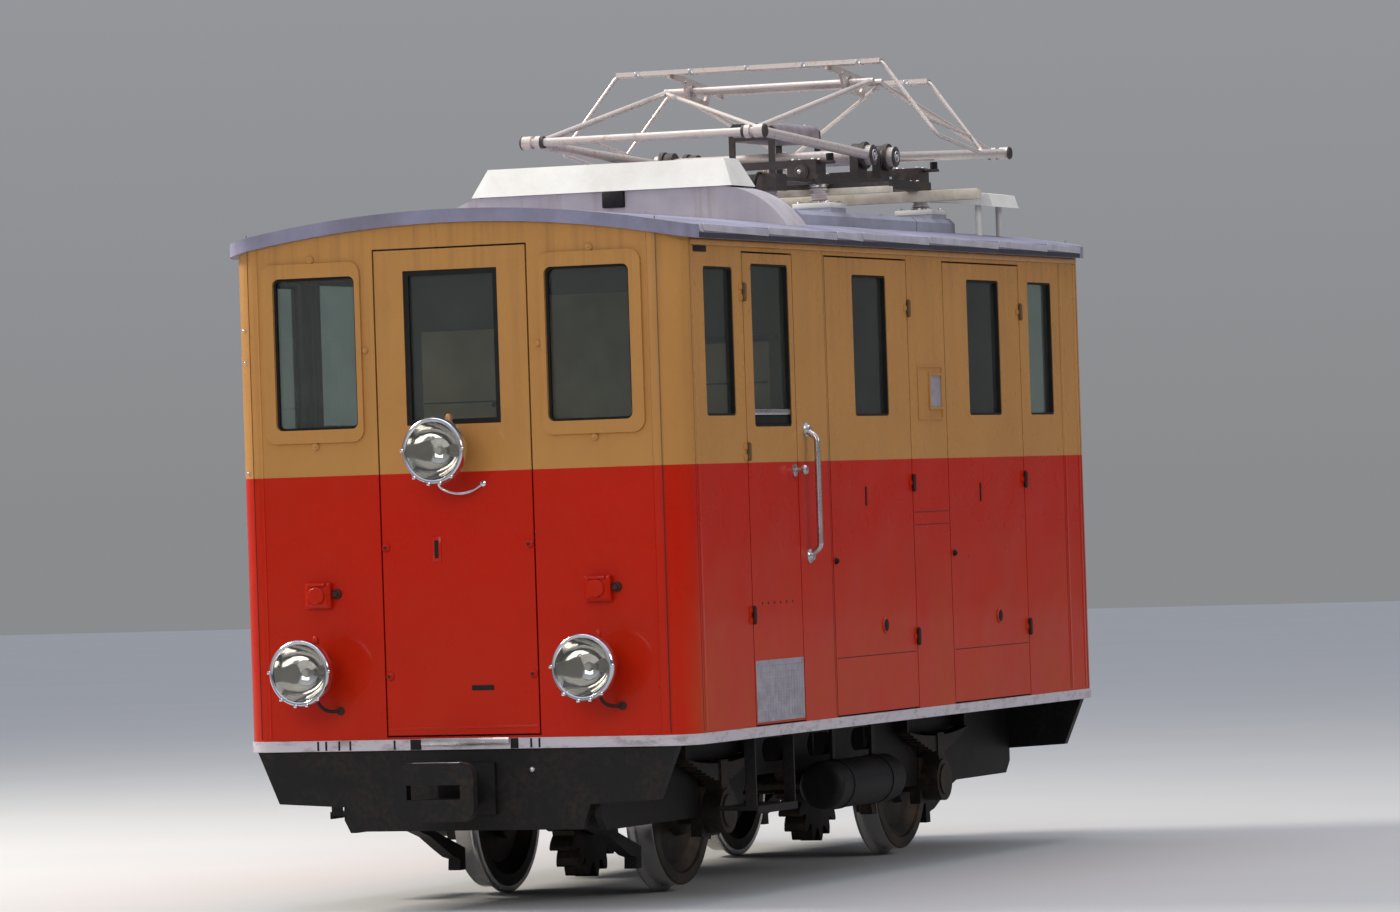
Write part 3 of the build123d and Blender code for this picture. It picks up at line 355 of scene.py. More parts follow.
# Dark coats: base, dust, amount of dust, roughness, metal
BLACK = sooted("frame_black", (0.006, 0.006, 0.007), (0.050, 0.032, 0.020), 0.8, 0.72,
               Specular_IOR_Level=0.25)
DUSTY = sooted("axle_box_dust", (0.015, 0.012, 0.010), (0.11, 0.068, 0.038), 1.0, 0.72,
               Specular_IOR_Level=0.3)
MOTOR = sooted("motor_enamel", (0.10, 0.105, 0.11), (0.15, 0.11, 0.08), 0.7, 0.5)
FLOOR = sooted("floor_plate", (0.06, 0.055, 0.05), (0.13, 0.10, 0.08), 0.8)
CARBON = sooted("contact_strip", (0.16, 0.13, 0.12), (0.36, 0.24, 0.17), 0.6, 0.5, 0.4)
DARK_CAST = sooted("roof_casting", (0.055, 0.045, 0.045), (0.17, 0.125, 0.10), 0.8, 0.5, 0.4)

# Plain coats: base, worn, lowest and highest roughness, scale of the blotches and of the grain, its depth
WHITE = plain("hood_white", LID_WHITE, LID_WORN, (0.38, 0.62), 4.0)
LILAC = plain("machine_grey", (0.38, 0.34, 0.38), (0.24, 0.20, 0.23), (0.35, 0.6), 9.0)
# Light paint of the beam boards, made lighter as a painted highlight
CHALK_AND_HIGHLIGHT = plain("beam_white_and_highlight", (0.74, 0.68, 0.56), (0.50, 0.42, 0.32), (0.45, 0.7), 9.0)
ROOF_BOX = plain("roof_box_grey", (0.40, 0.41, 0.50), (0.27, 0.27, 0.33), (0.45, 0.7), 3.0)
CAB = plain("cab_eggshell", EGGSHELL, (0.14, 0.105, 0.065), (0.4, 0.6), 3.0)
CABINET = plain("cabinet_enamel", (0.80, 0.55, 0.35), (0.66, 0.44, 0.27), (0.3, 0.5), 5.0)
RUBBER = plain("window_rubber", (0.008, 0.008, 0.009), (0.016, 0.015, 0.014), (0.55, 0.8), 20.0,
               Specular_IOR_Level=0.2)
# Dark red-brown: the colour of the seams, rivets, bolt heads, stubs and lamp leads, and painted shade on the
# hinge pins below the paint line
DARK_AND_SHADE = plain("dark_parts_and_painted_shade", (0.035, 0.006, 0.004), (0.022, 0.006, 0.004), (0.6, 0.85), 12.0)
# Dark cream: the colour of the seams above the paint line, and painted shade on the hinge pins there
CREAM_SEAM_AND_SHADE = plain("seam_cream_and_painted_shade", (0.16, 0.085, 0.032), (0.11, 0.060, 0.026), (0.6, 0.85), 12.0)
LAMP_CREAM = plain("lamp_cream", CREAM, CREAM_WORN, (0.25, 0.45), 8.0, Coat_Weight=0.4)
# Dark strip of painted shadow under the roof's edge
SHADE = plain("drip_painted_shadow", (0.035, 0.030, 0.045), (0.022, 0.018, 0.026), (0.5, 0.75), 14.0)
# Drip strips: zinc grey made lighter as a painted highlight
DRIP_AND_HIGHLIGHT = plain("drip_zinc_and_painted_highlight", (0.62, 0.60, 0.66), (0.44, 0.42, 0.48), (0.3, 0.5), 6.0, Metallic=0.3)
CHROME = plain("lamp_chrome", (0.74, 0.75, 0.80), (0.62, 0.62, 0.68), (0.06, 0.20), 8.0, 40.0, 0.0002,
               Metallic=1.0)
REFLECTOR = plain("lamp_mirror", (0.80, 0.79, 0.76), (0.70, 0.68, 0.64), (0.03, 0.09), 6.0, 30.0, 0.0001,
                  Metallic=1.0)
BRIGHT = plain("bright_steel", (0.62, 0.60, 0.62), (0.44, 0.41, 0.41), (0.18, 0.38), 12.0, 60.0, 0.0004,
               Metallic=0.9)
PLATE = plain("kick_plate_metal", (0.42, 0.40, 0.46), (0.32, 0.29, 0.33), (0.34, 0.55), 16.0, 60.0, 0.0006,
              Metallic=0.35)
COPPER = plain("oxidised_copper", (0.45, 0.20, 0.11), (0.16, 0.19, 0.13), (0.3, 0.55), 14.0, 60.0, 0.0004,
               Metallic=0.8)
GLAZE = plain("insulator_glaze", (0.58, 0.53, 0.54), (0.40, 0.35, 0.35), (0.12, 0.3), 10.0, 50.0, 0.0004,
              Coat_Weight=0.5)
LENS = plain("lamp_lens", (0.86, 0.86, 0.84), (0.78, 0.78, 0.76), (0.01, 0.05), 6.0, 24.0, 0.0008,
             Transmission_Weight=1.0, IOR=1.48)

# The coat of each solid that is neither glass nor painted in the livery
nodes_of_coat = (
    (WHEEL, "wheels_front wheels_rear rack_pinion_front rack_pinion_rear"),
    (DUSTY, "axle_front axle_rear axle_boxes leaf_springs brake_gear"),
    (BLACK, "main_frame air_reservoirs headstocks couplers rail_guards cab_steps"),
    (TUBE, "lower_arms_front lower_arms_rear upper_arms_front upper_arms_rear collector_head"),
    (CAB, "bulkheads driver_desks"), (STRIP, "sill_band"), (FLOOR, "floor"), (ROOF, "roof"),
    (MOTOR, "traction_motors"), (BRIGHT, "handrails"), (HOOD, "roof_hood_front"), (WHITE, "roof_hood_rear"),
    (ROOF_BOX, "roof_plinths"), (GLAZE, "insulators"), (DARK_CAST, "pantograph_base"),
)


def dress_solids():
    """Gives each solid of the frame its coat."""
    coat_of = {node: coat for coat, nodes in nodes_of_coat for node in nodes.split()}
    for name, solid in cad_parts.items():
        see_through = "glass" in name or "lens" in name
        solid.data.materials.clear()
        solid.data.materials.append(GLASS if see_through else coat_of.get(name, LIVERY))


# Mesh pieces

SHARP = math.radians(38)
CURVE_STEPS = 6

# Copies of a piece: a name's ending, a matrix and the body it rides on
SAME = Matrix.Identity(4)
TURN = Matrix.Rotation(math.pi, 4, "Z")
MIRROR = Matrix.Scale(-1, 4, RIGHT)
ALONE = (("", SAME, "root"),)
ENDS = (("_front", SAME, "root"), ("_rear", TURN, "root"))
SIDES = (("_right", SAME, "root"), ("_left", MIRROR, "root"))


def on_ends(body):
    return (("_front", SAME, body + "_front"), ("_rear", TURN, body + "_rear"))


def on_sides(body):
    return (("_right", SAME, body + "_right"), ("_left", MIRROR, body + "_left"))


def circle(count):
    """Angles that share out a full turn."""
    return [2 * math.pi * i / count for i in range(count)]


class Piece:
    """Small forms of one material in one mesh, with its copies and the solids' nodes they replace."""

    drawn = []

    def __init__(self, name, material, copies=ALONE, nodes=()):
        self.name = name
        self.material = material
        self.copies = copies
        self.nodes = nodes
        self.mesh = bmesh.new()
        Piece.drawn.append(self)

    def join(self, rings):
        """Faces from each ring of points to the next; a ring may be a single point."""
        for a, b in zip(rings, rings[1:]):
            count = max(len(a), len(b))
            for i in range(count):
                j = (i + 1) % count
                four = (a[i % len(a)], a[j % len(a)], b[j % len(b)], b[i % len(b)])
                self.mesh.faces.new(tuple(dict.fromkeys(four)))

    def box(self, xs, ys, zs, bevel=0.0, segments=2):
        """Box over its spans in x, y and z."""
        made = bmesh.ops.create_cube(self.mesh, size=1.0)["verts"]
        low, high = map(Vector, zip(xs, ys, zs))
        for v in made:
            v.co = Vector([(l + h) / 2 + c * (h - l) for l, h, c in zip(low, high, v.co)])
        if bevel:
            edges = dict.fromkeys(e for v in made for e in v.link_edges)
            bmesh.ops.bevel(self.mesh, geom=list(edges), offset=bevel, segments=segments, affect="EDGES",
                            profile=0.5)

    def lathe(self, profile, origin, axis, sides=32):
        """Turns (radius, distance along the axis) points about the axis."""
        turn = Vector(UP).rotation_difference(Vector(axis).normalized()).to_matrix()
        rings = []
        for radius, along in profile:
            angles = circle(sides if radius else 1)
            spots = [Vector((radius * math.cos(a), radius * math.sin(a), along)) for a in angles]
            rings.append([self.mesh.verts.new(Vector(origin) + turn @ spot) for spot in spots])
        self.join(rings)

    def rod(self, a, b, radius, sides=16):
        """Round bar with its end edges broken."""
        a, b = Vector(a), Vector(b)
        length = (b - a).length
        e = min(0.15 * radius, length * 0.4)
        half = [(0, 0), (radius - e, 0), (radius, e)]
        self.lathe(half + [(r, length - h) for r, h in half[::-1]], a, b - a, sides)

    def bolt(self, at, axis, radius, height):
        """Domed head standing on a face."""
        dome = [(radius, 0), (radius, 0.35 * height), (0.82 * radius, 0.75 * height), (0.4 * radius, height)]
        self.lathe(dome + [(0, 1.04 * height)], at, axis, 12)

    def boss(self, at, axis, rim, neck, crown, sides=20):
        """Round boss; its rim and neck are a radius and a height, its crown a height."""
        self.lathe([(0, 0), (rim[0], 0), rim, neck, (0, crown)], at, axis, sides)

    def tube(self, points, radius, sides=10):
        """Round bar along a smooth curve through the points."""
        points = [Vector(p) for p in points]
        path = []
        for i in range(len(points) - 1):
            p0, p1, p2 = points[max(i - 1, 0)], points[i], points[i + 1]
            p3 = points[min(i + 2, len(points) - 1)]
            for s in range(CURVE_STEPS):
                t = s / CURVE_STEPS
                path.append(0.5 * (2 * p1 + (p2 - p0) * t + (2 * p0 - 5 * p1 + 4 * p2 - p3) * t * t
                                   + (3 * p1 - p0 - 3 * p2 + p3) * t**3))
        path.append(points[-1])
        side = (path[1] - path[0]).orthogonal().normalized()
        rings = []
        for i, at in enumerate(path):
            ahead = (path[min(i + 1, len(path) - 1)] - path[max(i - 1, 0)]).normalized()
            side = (side - side.dot(ahead) * ahead).normalized()
            up = ahead.cross(side)
            spots = [at + radius * (math.cos(a) * side + math.sin(a) * up) for a in circle(sides)]
            rings.append([self.mesh.verts.new(spot) for spot in spots])
        self.join(rings)
        self.mesh.faces.new(rings[0][::-1])
        self.mesh.faces.new(rings[-1])

    def ring(self, at, axis, radius, thickness):
        """Round wire ring."""
        wire = [(radius + thickness * math.cos(a), thickness * math.sin(a)) for a in circle(10)]
        self.lathe(wire + wire[:1], at, axis)

    def frame_ring(self, plane, a, b, at, depth, width, corner, steps=6):
        """Rounded rectangular ring: plane x or y is its normal, a and b its outer spans, depth signed."""
        loops = []
        for inset, along in ((0, 0), (0, depth), (width, depth), (width, 0)):
            r = max(corner - inset, 0.001)
            loop = []
            corners = ((a[1], b[1], 0), (a[0], b[1], 1), (a[0], b[0], 2), (a[1], b[0], 3))
            for ca, cb, quarter in corners:
                oa = ca - inset - r if quarter in (0, 3) else ca + inset + r
                ob = cb - inset - r if quarter in (0, 1) else cb + inset + r
                for s in range(steps + 1):
                    t = math.pi / 2 * (quarter + s / steps)
                    u, v = oa + r * math.cos(t), ob + r * math.sin(t)
                    co = (at + along, u, v) if plane == "x" else (u, at + along, v)
                    loop.append(self.mesh.verts.new(co))
            loops.append(loop)
        self.join(loops + loops[:1])

    def place(self):
        """Makes the copies, each on its body and in place of its node."""
        bmesh.ops.recalc_face_normals(self.mesh, faces=self.mesh.faces)
        made = []
        for ending, matrix, body in self.copies:
            mesh = bpy.data.meshes.new(self.name + ending)
            copy = self.mesh.copy()
            bmesh.ops.transform(copy, matrix=matrix, verts=copy.verts)
            if matrix.determinant() < 0:
                bmesh.ops.reverse_faces(copy, faces=copy.faces)
            copy.to_mesh(mesh)
            copy.free()
            for face in mesh.polygons:
                face.use_smooth = True
            mesh.set_sharp_from_angle(angle=SHARP)
            mesh.materials.append(self.material)
            piece = add(self.name + ending, mesh)
            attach(piece, body)
            made.append(piece)
        for piece, node in zip(made, self.nodes):
            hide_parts(node)


# Profiles of a lamp: radius, and distance in front of the wall
LAMP_BOWL = [
    (0, 0), (0.072, 0), (0.072, 0.010), (0.066, 0.012), (0.034, 0.013), (0.034, 0.050), (0.058, 0.056),
    (0.082, 0.074), (0.104, 0.104), (0.124, 0.150), (0.137, 0.192), (0.137, 0.199), (0.132, 0.197),
    (0.09, 0.117),
]
LAMP_RIM = [
    (0.137, 0.190), (0.1455, 0.192), (0.1495, 0.199), (0.1500, 0.212), (0.1490, 0.228), (0.1460, 0.239),
    (0.1410, 0.2428), (0.1345, 0.2425), (0.1300, 0.2385), (0.1290, 0.233), (0.1330, 0.228), (0.1360, 0.215),
    (0.137, 0.190),
]
LAMP_MIRROR = [
    (0, 0.092), (0.03, 0.095), (0.06, 0.106), (0.085, 0.126), (0.105, 0.155), (0.120, 0.190), (0.130, 0.226),
]
LAMP_GLASS = [
    (0, 0.2405), (0.05, 0.2395), (0.095, 0.2365), (0.1310, 0.2315), (0.1310, 0.2275), (0.095, 0.2325),
    (0.05, 0.2355), (0, 0.2365),
]
LAMP_BULB = [(0, 0.105), (0.012, 0.105), (0.014, 0.135), (0.022, 0.155), (0.017, 0.175), (0, 0.182)]
LUG_RADIUS = 0.1475
LUG_ANGLES = (2, 178, 232, 262, 284, 308)
# A lamp's conduit: radius, course from the wall behind the lamp's middle, and rim, neck and crown of its boss
DOOR_LAMP_LEAD = (
    0.0065, ((-0.020, -0.150, -0.118), (-0.018, -0.120, -0.165), (0.030, -0.070, -0.192),
             (0.085, -0.030, -0.185), (0.135, 0.002, -0.150)), ((0.014, 0.005), (0.008, 0.008), 0.009))
HEAD_LAMP_LEAD = (
    0.0085, ((0.010, -0.100, -0.075), (0.020, -0.085, -0.145), (0.045, -0.050, -0.176),
             (0.085, 0.002, -0.180)), ((0.019, 0.005), (0.011, 0.009), 0.010))


def build_lamps(name, places, z, copies, coat, lead, bowl_nodes, lens_nodes):
    """Lamps of one kind with their copies, shown in place of the nodes' solids."""
    bowls = Piece(name + "_bowl", coat, copies, bowl_nodes)
    glasses = Piece(name + "_glass", LENS, copies, lens_nodes)
    rims = Piece(name + "_rim", CHROME, copies)
    mirrors = Piece(name + "_mirror", REFLECTOR, copies)
    lugs = Piece(name + "_lugs", CHROME, copies)
    bulbs = Piece(name + "_bulb", WHITE, copies)
    leads = lugs if name == "door_lamp" else Piece(name + "_hook", DARK_AND_SHADE, copies)
    lead_radius, course, lead_boss = lead
    for x in places:
        at = (x, FACE, z)
        bowls.lathe(LAMP_BOWL, at, AHEAD, 48)
        rims.lathe(LAMP_RIM, at, AHEAD, 64)
        mirrors.lathe(LAMP_MIRROR, at, AHEAD, 48)
        glasses.lathe(LAMP_GLASS, at, AHEAD, 48)
        bulbs.lathe(LAMP_BULB, at, AHEAD, 20)
        for degrees in LUG_ANGLES:
            t = math.radians(degrees)
            lug_x, lug_z = x + LUG_RADIUS * math.cos(t), z + LUG_RADIUS * math.sin(t)
            lugs.box(about(lug_x, 0.008), (FACE - 0.2455, FACE - 0.208), about(lug_z, 0.008), 0.003)
        catch_x = x + 0.045
        bowls.box(about(catch_x, 0.012), (FACE - 0.165, FACE - 0.135), (z + 0.118, z + 0.152), 0.003)
        bowls.bolt((catch_x, FACE - 0.15, z + 0.15), UP, 0.012, 0.012)
        leads.tube([(x + dx, FACE + dy, z + dz) for dx, dy, dz in course], lead_radius)
        foot_x, _, foot_z = course[-1]
        leads.boss((x + foot_x, FACE, z + foot_z), AHEAD, *lead_boss)


def end_windows():
    """Gaskets and clips of the end windows, and the frame of the door's window."""
    gasket = Piece("end_window_gasket", RUBBER, ENDS)
    for sign in (-1, 1):
        gasket.frame_ring("y", about(sign * 0.670, 0.206), heights(1.441, 2.128), FACE + 0.003, 0.017,
                          width=0.013, corner=0.032)
    reveal = Piece("end_door_window_frame", RUBBER, on_ends("end_door"))
    reveal.frame_ring("y", about(0, 0.231), heights(1.447, 2.137), FACE + 0.006, 0.0155,
                      width=0.024, corner=0.005)
    clips = Piece("window_clips", LIVERY, ENDS)
    for sign in (-1, 1):
        middle = sign * 0.685
        for z in heights(2.206, 1.368):
            clips.boss((middle, FACE, z), AHEAD, (0.017, 0.008), (0.010, 0.016), 0.018)
            clips.bolt((middle, FACE - 0.016, z), AHEAD, 0.006, 0.006)
        clips.boss((sign * 0.424, FACE, above(1.79)), AHEAD, (0.014, 0.008), (0.008, 0.014), 0.015)


def end_panels():
    """Seams, corner studs and cover beads of the end walls."""
    for name, coat, half, foot, head in (
        ("end_panel_seams", DARK_AND_SHADE, 0.0016, BAND + 0.01, PAINT_LINE),
        ("end_panel_seams_upper", CREAM_SEAM_AND_SHADE, 0.0014, PAINT_LINE, above(2.33)),
    ):
        seams = Piece(name, coat, ENDS)
        for x in (-1.002, 1.002):
            seams.box(about(x, half), (FACE - 0.0006, FACE + 0.002), (foot, head))
    studs = Piece("corner_studs", BRIGHT, ENDS)
    for h in (1.255, 1.755, 1.900):
        studs.bolt((-1.030, FACE + 0.0065, above(h)), (-0.25, -0.97, 0), 0.008, 0.006)
    beads = Piece("corner_beads", LIVERY, ENDS)
    for x in (-0.955, 0.955):
        beads.rod((x, FACE + 0.0012, BAND + 0.01), (x, FACE + 0.0012, above(2.32)), 0.005, 10)


def end_door_fittings():
    """Locks, lock plate and the bolts in their washers on the end doors."""
    bolts_at = [(x, FACE, above(h)) for x in (-0.352, 0.352) for h in (0.905, 0.330)]
    locks = Piece("end_door_locks", RUBBER, on_ends("end_door"))
    locks.box((-0.114, -0.094), (FACE - 0.005, FACE + 0.001), heights(0.853, 0.933), 0.002)
    locks.box((0.048, 0.155), (FACE - 0.005, FACE + 0.001), heights(0.262, 0.284), 0.002)
    plates = Piece("end_door_lock_plate", LIVERY, on_ends("end_door"))
    plates.box((-0.126, -0.082), (FACE - 0.003, FACE + 0.001), heights(0.835, 0.950), 0.0025)
    for at in bolts_at:
        plates.boss(at, AHEAD, (0.019, 0.006), (0.011, 0.016), 0.018, 18)
    plates.box(about(0, 0.367), (FACE - 0.0022, FACE + 0.001), heights(0.092, 0.104), 0.001)
    heads = Piece("end_door_bolt_heads", DARK_AND_SHADE, on_ends("end_door"))
    for at in bolts_at:
        heads.lathe([(0, 0.012), (0.0085, 0.012), (0.0085, 0.0205), (0, 0.0215)], at, AHEAD, 6)


def cable_sockets():
    """Caps, hoods and screws of the two cable sockets at each end, and the stub beside each."""
    socket_x, socket_z = 0.685, above(0.700)
    cap = [(0, 0.030), (0.036, 0.030), (0.040, 0.034), (0.040, 0.056), (0.034, 0.062), (0, 0.064)]
    stub = [(0, 0), (0.022, 0), (0.022, 0.012), (0.013, 0.018), (0.013, 0.030), (0, 0.032)]
    sockets = Piece("cable_socket_caps", LIVERY, ENDS)
    stubs = Piece("socket_stubs", DARK_AND_SHADE, ENDS)
    for x in (-socket_x, socket_x):
        sockets.lathe(cap, (x, FACE, socket_z), AHEAD, 28)
        sockets.box(about(x, 0.045), (FACE - 0.058, FACE - 0.030), heights(0.742, 0.756), 0.004)
        for dx in (-0.050, 0.050):
            for dz in (-0.043, 0.043):
                sockets.bolt((x + dx, FACE - 0.034, socket_z + dz), AHEAD, 0.0065, 0.006)
        stubs.lathe(stub, (x + 0.082, FACE, above(0.705)), AHEAD, 20)


def end_sill():
    """Threshold plate, dark marks across the white strip, a bright strip of painted highlight on the buffer's
    top edge and a bolt beside the buffer.
    """
    threshold = Piece("threshold_plate", BRIGHT, ENDS)
    threshold.box((-0.205, 0.226), (FACE - 0.018, FACE - 0.0055), (SILL + 0.020, BAND + 0.004), 0.003)
    # Dark marks across the white strip
    gaps = Piece("sill_dark_marks", RUBBER, ENDS)
    for x0, x1 in ((-0.262, -0.208), (0.229, 0.268)):
        gaps.box((x0, x1), (FACE - 0.0072, FACE - 0.004), (SILL + 0.001, BAND - 0.001), 0.0008)
    for x in (-0.720, -0.680, -0.615, -0.560, -0.34, 0.33, 0.37):
        gaps.box(about(x, 0.005), (FACE - 0.0068, FACE - 0.004), (SILL + 0.003, BAND - 0.003), 0.0006)
    # Bright strip on the buffer's top edge: a painted highlight
    worn = Piece("buffer_edge_highlight", BRIGHT, ENDS)
    worn.box((-0.10, 0.13), (FACE - 0.338, FACE - 0.300), (SILL - 0.0465, SILL - 0.0435), 0.001)
    worn.bolt((0.326, FACE + 0.010, above(-0.094)), AHEAD, 0.014, 0.016)


def cab_fittings():
    """Cabinets and a door panel on each cab's bulkhead; only the front one has room for the wide cabinet."""
    wall = deep(1.540)
    rear_wall = deep(4.375)
    to_rear_wall = Matrix.Translation((0, rear_wall + wall, 0)) @ TURN
    cabs = (("_front", SAME, "root"), ("_rear", to_rear_wall, "root"))
    narrow_face, wide_face = wall - 0.120, wall - 0.150
    narrow = Piece("cab_cabinets", CABINET, cabs)
    narrow.box((-0.820, -0.420), (narrow_face, wall + 0.001), heights(1.250, 1.900), 0.008)
    narrow.box((-0.330, 0.230), (wall - 0.016, wall + 0.001), heights(0.120, 2.050), 0.004)
    gap = Piece("cab_cabinet_gaps", RUBBER, cabs)
    gap.box((-0.812, -0.428), (narrow_face - 0.0015, narrow_face + 0.0005), heights(1.560, 1.567))
    gap.bolt((-0.450, narrow_face, above(1.55)), AHEAD, 0.012, 0.016)
    wide = Piece("cab_wide_cabinet", CABINET)
    wide.box((0.300, 0.950), (wide_face, wall + 0.001), heights(1.180, 1.790), 0.008)
    edges = Piece("cab_wide_cabinet_gaps", RUBBER)
    for x in (0.520, 0.740):
        edges.box(about(x, 0.003), (wide_face - 0.0015, wide_face + 0.0005), heights(1.200, 1.770))
    edges.box((0.310, 0.940), (wide_face - 0.0015, wide_face + 0.0005), heights(1.600, 1.607))
    edges.box((0.270, 0.980), (wide_face - 0.020, wall + 0.001), heights(1.800, 1.822), 0.003)
    for x in (0.500, 0.560, 0.780):
        edges.bolt((x, wide_face, above(1.46)), AHEAD, 0.012, 0.016)


def side_openings():
    """Stops behind the door gaps, and the gaskets of the side windows."""
    stops = Piece("door_stops", CAB, SIDES)
    inner, outer = HALF_W - 0.066, HALF_W - 0.0502
    for near, far, *_ in SIDE_DOORS.values():
        for y in (deep(near), deep(far)):
            stops.box((inner, outer), about(y, 0.022), heights(0.050, 2.196), 0.003)
        for z in heights(0.062, 2.184):
            stops.box((inner, outer), depths(near + 0.021, far - 0.021), about(z, 0.012), 0.003)

    def seal(piece, span, rise):
        piece.frame_ring("x", depths(*span), heights(*rise),
                         HALF_W - 0.004, -0.0175, width=0.010, corner=0.018)

    gasket = Piece("side_window_gasket", RUBBER, SIDES)
    seal(gasket, (0.295, 0.630), (1.446, 2.110))
    seal(gasket, (4.430, 4.770), (1.440, 2.100))
    for name, (_, _, span, rise, *_) in SIDE_DOORS.items():
        rubber = Piece(name + "_gasket", RUBBER, on_sides(name))
        seal(rubber, span, rise)


def side_panels():
    """Seams, cover strips, the moulding below the eaves, the vent slot and the card in its frame."""
    back, front = HALF_W - 0.002, HALF_W + 0.0006
    lower = Piece("side_panel_seams", DARK_AND_SHADE, SIDES)
    upper = Piece("side_panel_seams_upper", CREAM_SEAM_AND_SHADE, SIDES)
    for d in (0.146, 1.713, 4.880, 5.140):
        y = deep(d)
        lower.box((back, front), about(y, 0.0018), (BAND + 0.008, PAINT_LINE))
        upper.box((back, front), about(y, 0.0015), (PAINT_LINE, above(2.21)))
    for z in heights(0.92, 0.98):
        lower.box((back, front), depths(2.785, 3.240), about(z, 0.0018))
    strips = Piece("side_cover_strips", LIVERY, SIDES)
    for d in (0.176, 4.910, 5.110):
        y = deep(d)
        strips.box((back, HALF_W + 0.0028), about(y, 0.011), (BAND + 0.012, above(2.20)), 0.0022)
    moulding = Piece("eave_moulding", LIVERY, SIDES)
    moulding.box((HALF_W - 0.004, HALF_W + 0.012), depths(0.15, 5.13), heights(2.203, 2.2285), 0.004)
    slot = Piece("vent_slots", RUBBER, SIDES)
    slot.box((back, HALF_W + 0.003), depths(0.178, 0.338), heights(2.172, 2.200), 0.003)
    holder = Piece("side_card_frame", LIVERY, SIDES)
    for span, rise, depth, width in (
        ((2.874, 3.200), (1.420, 1.680), 0.006, 0.010),
        ((3.020, 3.190), (1.468, 1.643), 0.009, 0.012),
    ):
        holder.frame_ring("x", depths(*span), heights(*rise),
                          HALF_W - 0.001, depth, width, corner=0.004, steps=3)
    card = Piece("side_card", PLATE, SIDES)
    card.box((HALF_W - 0.001, HALF_W + 0.003), depths(3.032, 3.178), heights(1.480, 1.631), 0.001)


def kick_plate():
    """Ribbed plate at the foot of each cab door."""
    (y0, y1), (z0, z1) = depths(0.760, 1.322), heights(0.066, 0.343)
    rib_x, rib_radius, margin = HALF_W + 0.0022, 0.0022, 0.018
    upright_ribs, level_ribs, edge = 17, 9, 0.012
    kick = Piece("kick_plate", PLATE, on_sides("cab_door"))
    kick.box((HALF_W - 0.001, HALF_W + 0.0025), (y0, y1), (z0, z1), 0.001)
    for i in range(upright_ribs):
        y = y0 + 0.026 + i * (y1 - y0 - 0.052) / (upright_ribs - 1)
        kick.rod((rib_x, y, z0 + margin), (rib_x, y, z1 - margin), rib_radius, 8)
    for i in range(level_ribs):
        z = z0 + 0.022 + i * (z1 - z0 - 0.044) / (level_ribs - 1)
        kick.rod((rib_x, y0 + margin, z), (rib_x, y1 - margin, z), rib_radius, 8)
    for y in (y0 + edge, y1 - edge):
        for z in (z0 + edge, (z0 + z1) / 2, z1 - edge):
            kick.bolt((HALF_W + 0.002, y, z), RIGHT, 0.006, 0.004)


def cab_door_fittings():
    """Row of rivets, knob and lowered sash of the cab doors."""
    rivets = Piece("cab_door_dots", DARK_AND_SHADE, on_sides("cab_door"))
    rivet_count, rivet_pitch = 6, 0.072
    for i in range(rivet_count):
        rivets.bolt((HALF_W - 0.0005, deep(0.860 + rivet_pitch * i), above(0.600)), RIGHT, 0.007, 0.003)
    knob = Piece("cab_door_knob", BRIGHT, on_sides("cab_door"))
    knob.lathe([(0, 0), (0.030, 0), (0.030, 0.004), (0.010, 0.007), (0.010, 0.034), (0.021, 0.040),
                (0.023, 0.052), (0.017, 0.062), (0, 0.065)], (HALF_W, deep(1.296), above(1.195)), RIGHT, 28)
    sash = Piece("cab_door_sash", BRIGHT, on_sides("cab_door"))
    sash.box((HALF_W - 0.021, HALF_W - 0.004), depths(0.848, 1.282), heights(1.448, 1.474), 0.004)
    foot = Piece("cab_door_sash_foot", RUBBER, on_sides("cab_door"))
    foot.box((HALF_W - 0.0215, HALF_W - 0.012), depths(0.847, 1.283), heights(1.397, 1.449), 0.002)


def engine_door_fittings(name, lock, hole, cover, knob, knob_height):
    """Lock, round hole, joint of the low cover, and knob; cover and knob_height are heights."""
    near, far, *_ = SIDE_DOORS[name]
    hole_at = (HALF_W, deep(hole), above(0.455))
    dark = Piece(name + "_lock", RUBBER, on_sides(name))
    dark.box((HALF_W - 0.001, HALF_W + 0.004), about(deep(lock), 0.007), heights(1.020, 1.110), 0.002)
    dark.boss(hole_at, RIGHT, (0.030, 0.004), (0.024, 0.008), 0.008, 24)
    dark.boss((HALF_W, deep(knob), above(knob_height)), RIGHT, (0.015, 0.006), (0.008, 0.016), 0.018, 16)
    dark.box((HALF_W - 0.002, HALF_W + 0.0006), depths(near + 0.02, far - 0.02), about(above(cover), 0.0016))
    ring = Piece(name + "_lock_ring", LIVERY, on_sides(name))
    ring.lathe([(0.029, 0), (0.038, 0), (0.038, 0.003), (0.034, 0.007), (0.030, 0.007), (0.029, 0.004),
                (0.029, 0)], hole_at, RIGHT)


def side_hinges():
    """Pins in the side doors' hinges, coloured as painted shade: dark on the red and brown on the cream."""
    pin = [(0, -0.043), (0.006, -0.042), (0.0075, -0.036), (0.0098, -0.0355)]
    pin += [(radius, -h) for radius, h in pin[::-1]]
    for name, (*_, line, hinge_heights) in SIDE_DOORS.items():
        for label, coat, is_upper in (("", DARK_AND_SHADE, False), ("_upper", CREAM_SEAM_AND_SHADE, True)):
            # The pins' dark coat is painted shade
            pins = Piece(name + "_hinge_pins" + label, coat, SIDES)
            for h in hinge_heights:
                if (above(h) > PAINT_LINE) == is_upper:
                    pins.lathe(pin, (HINGE_X, deep(line), above(h)), UP, 20)


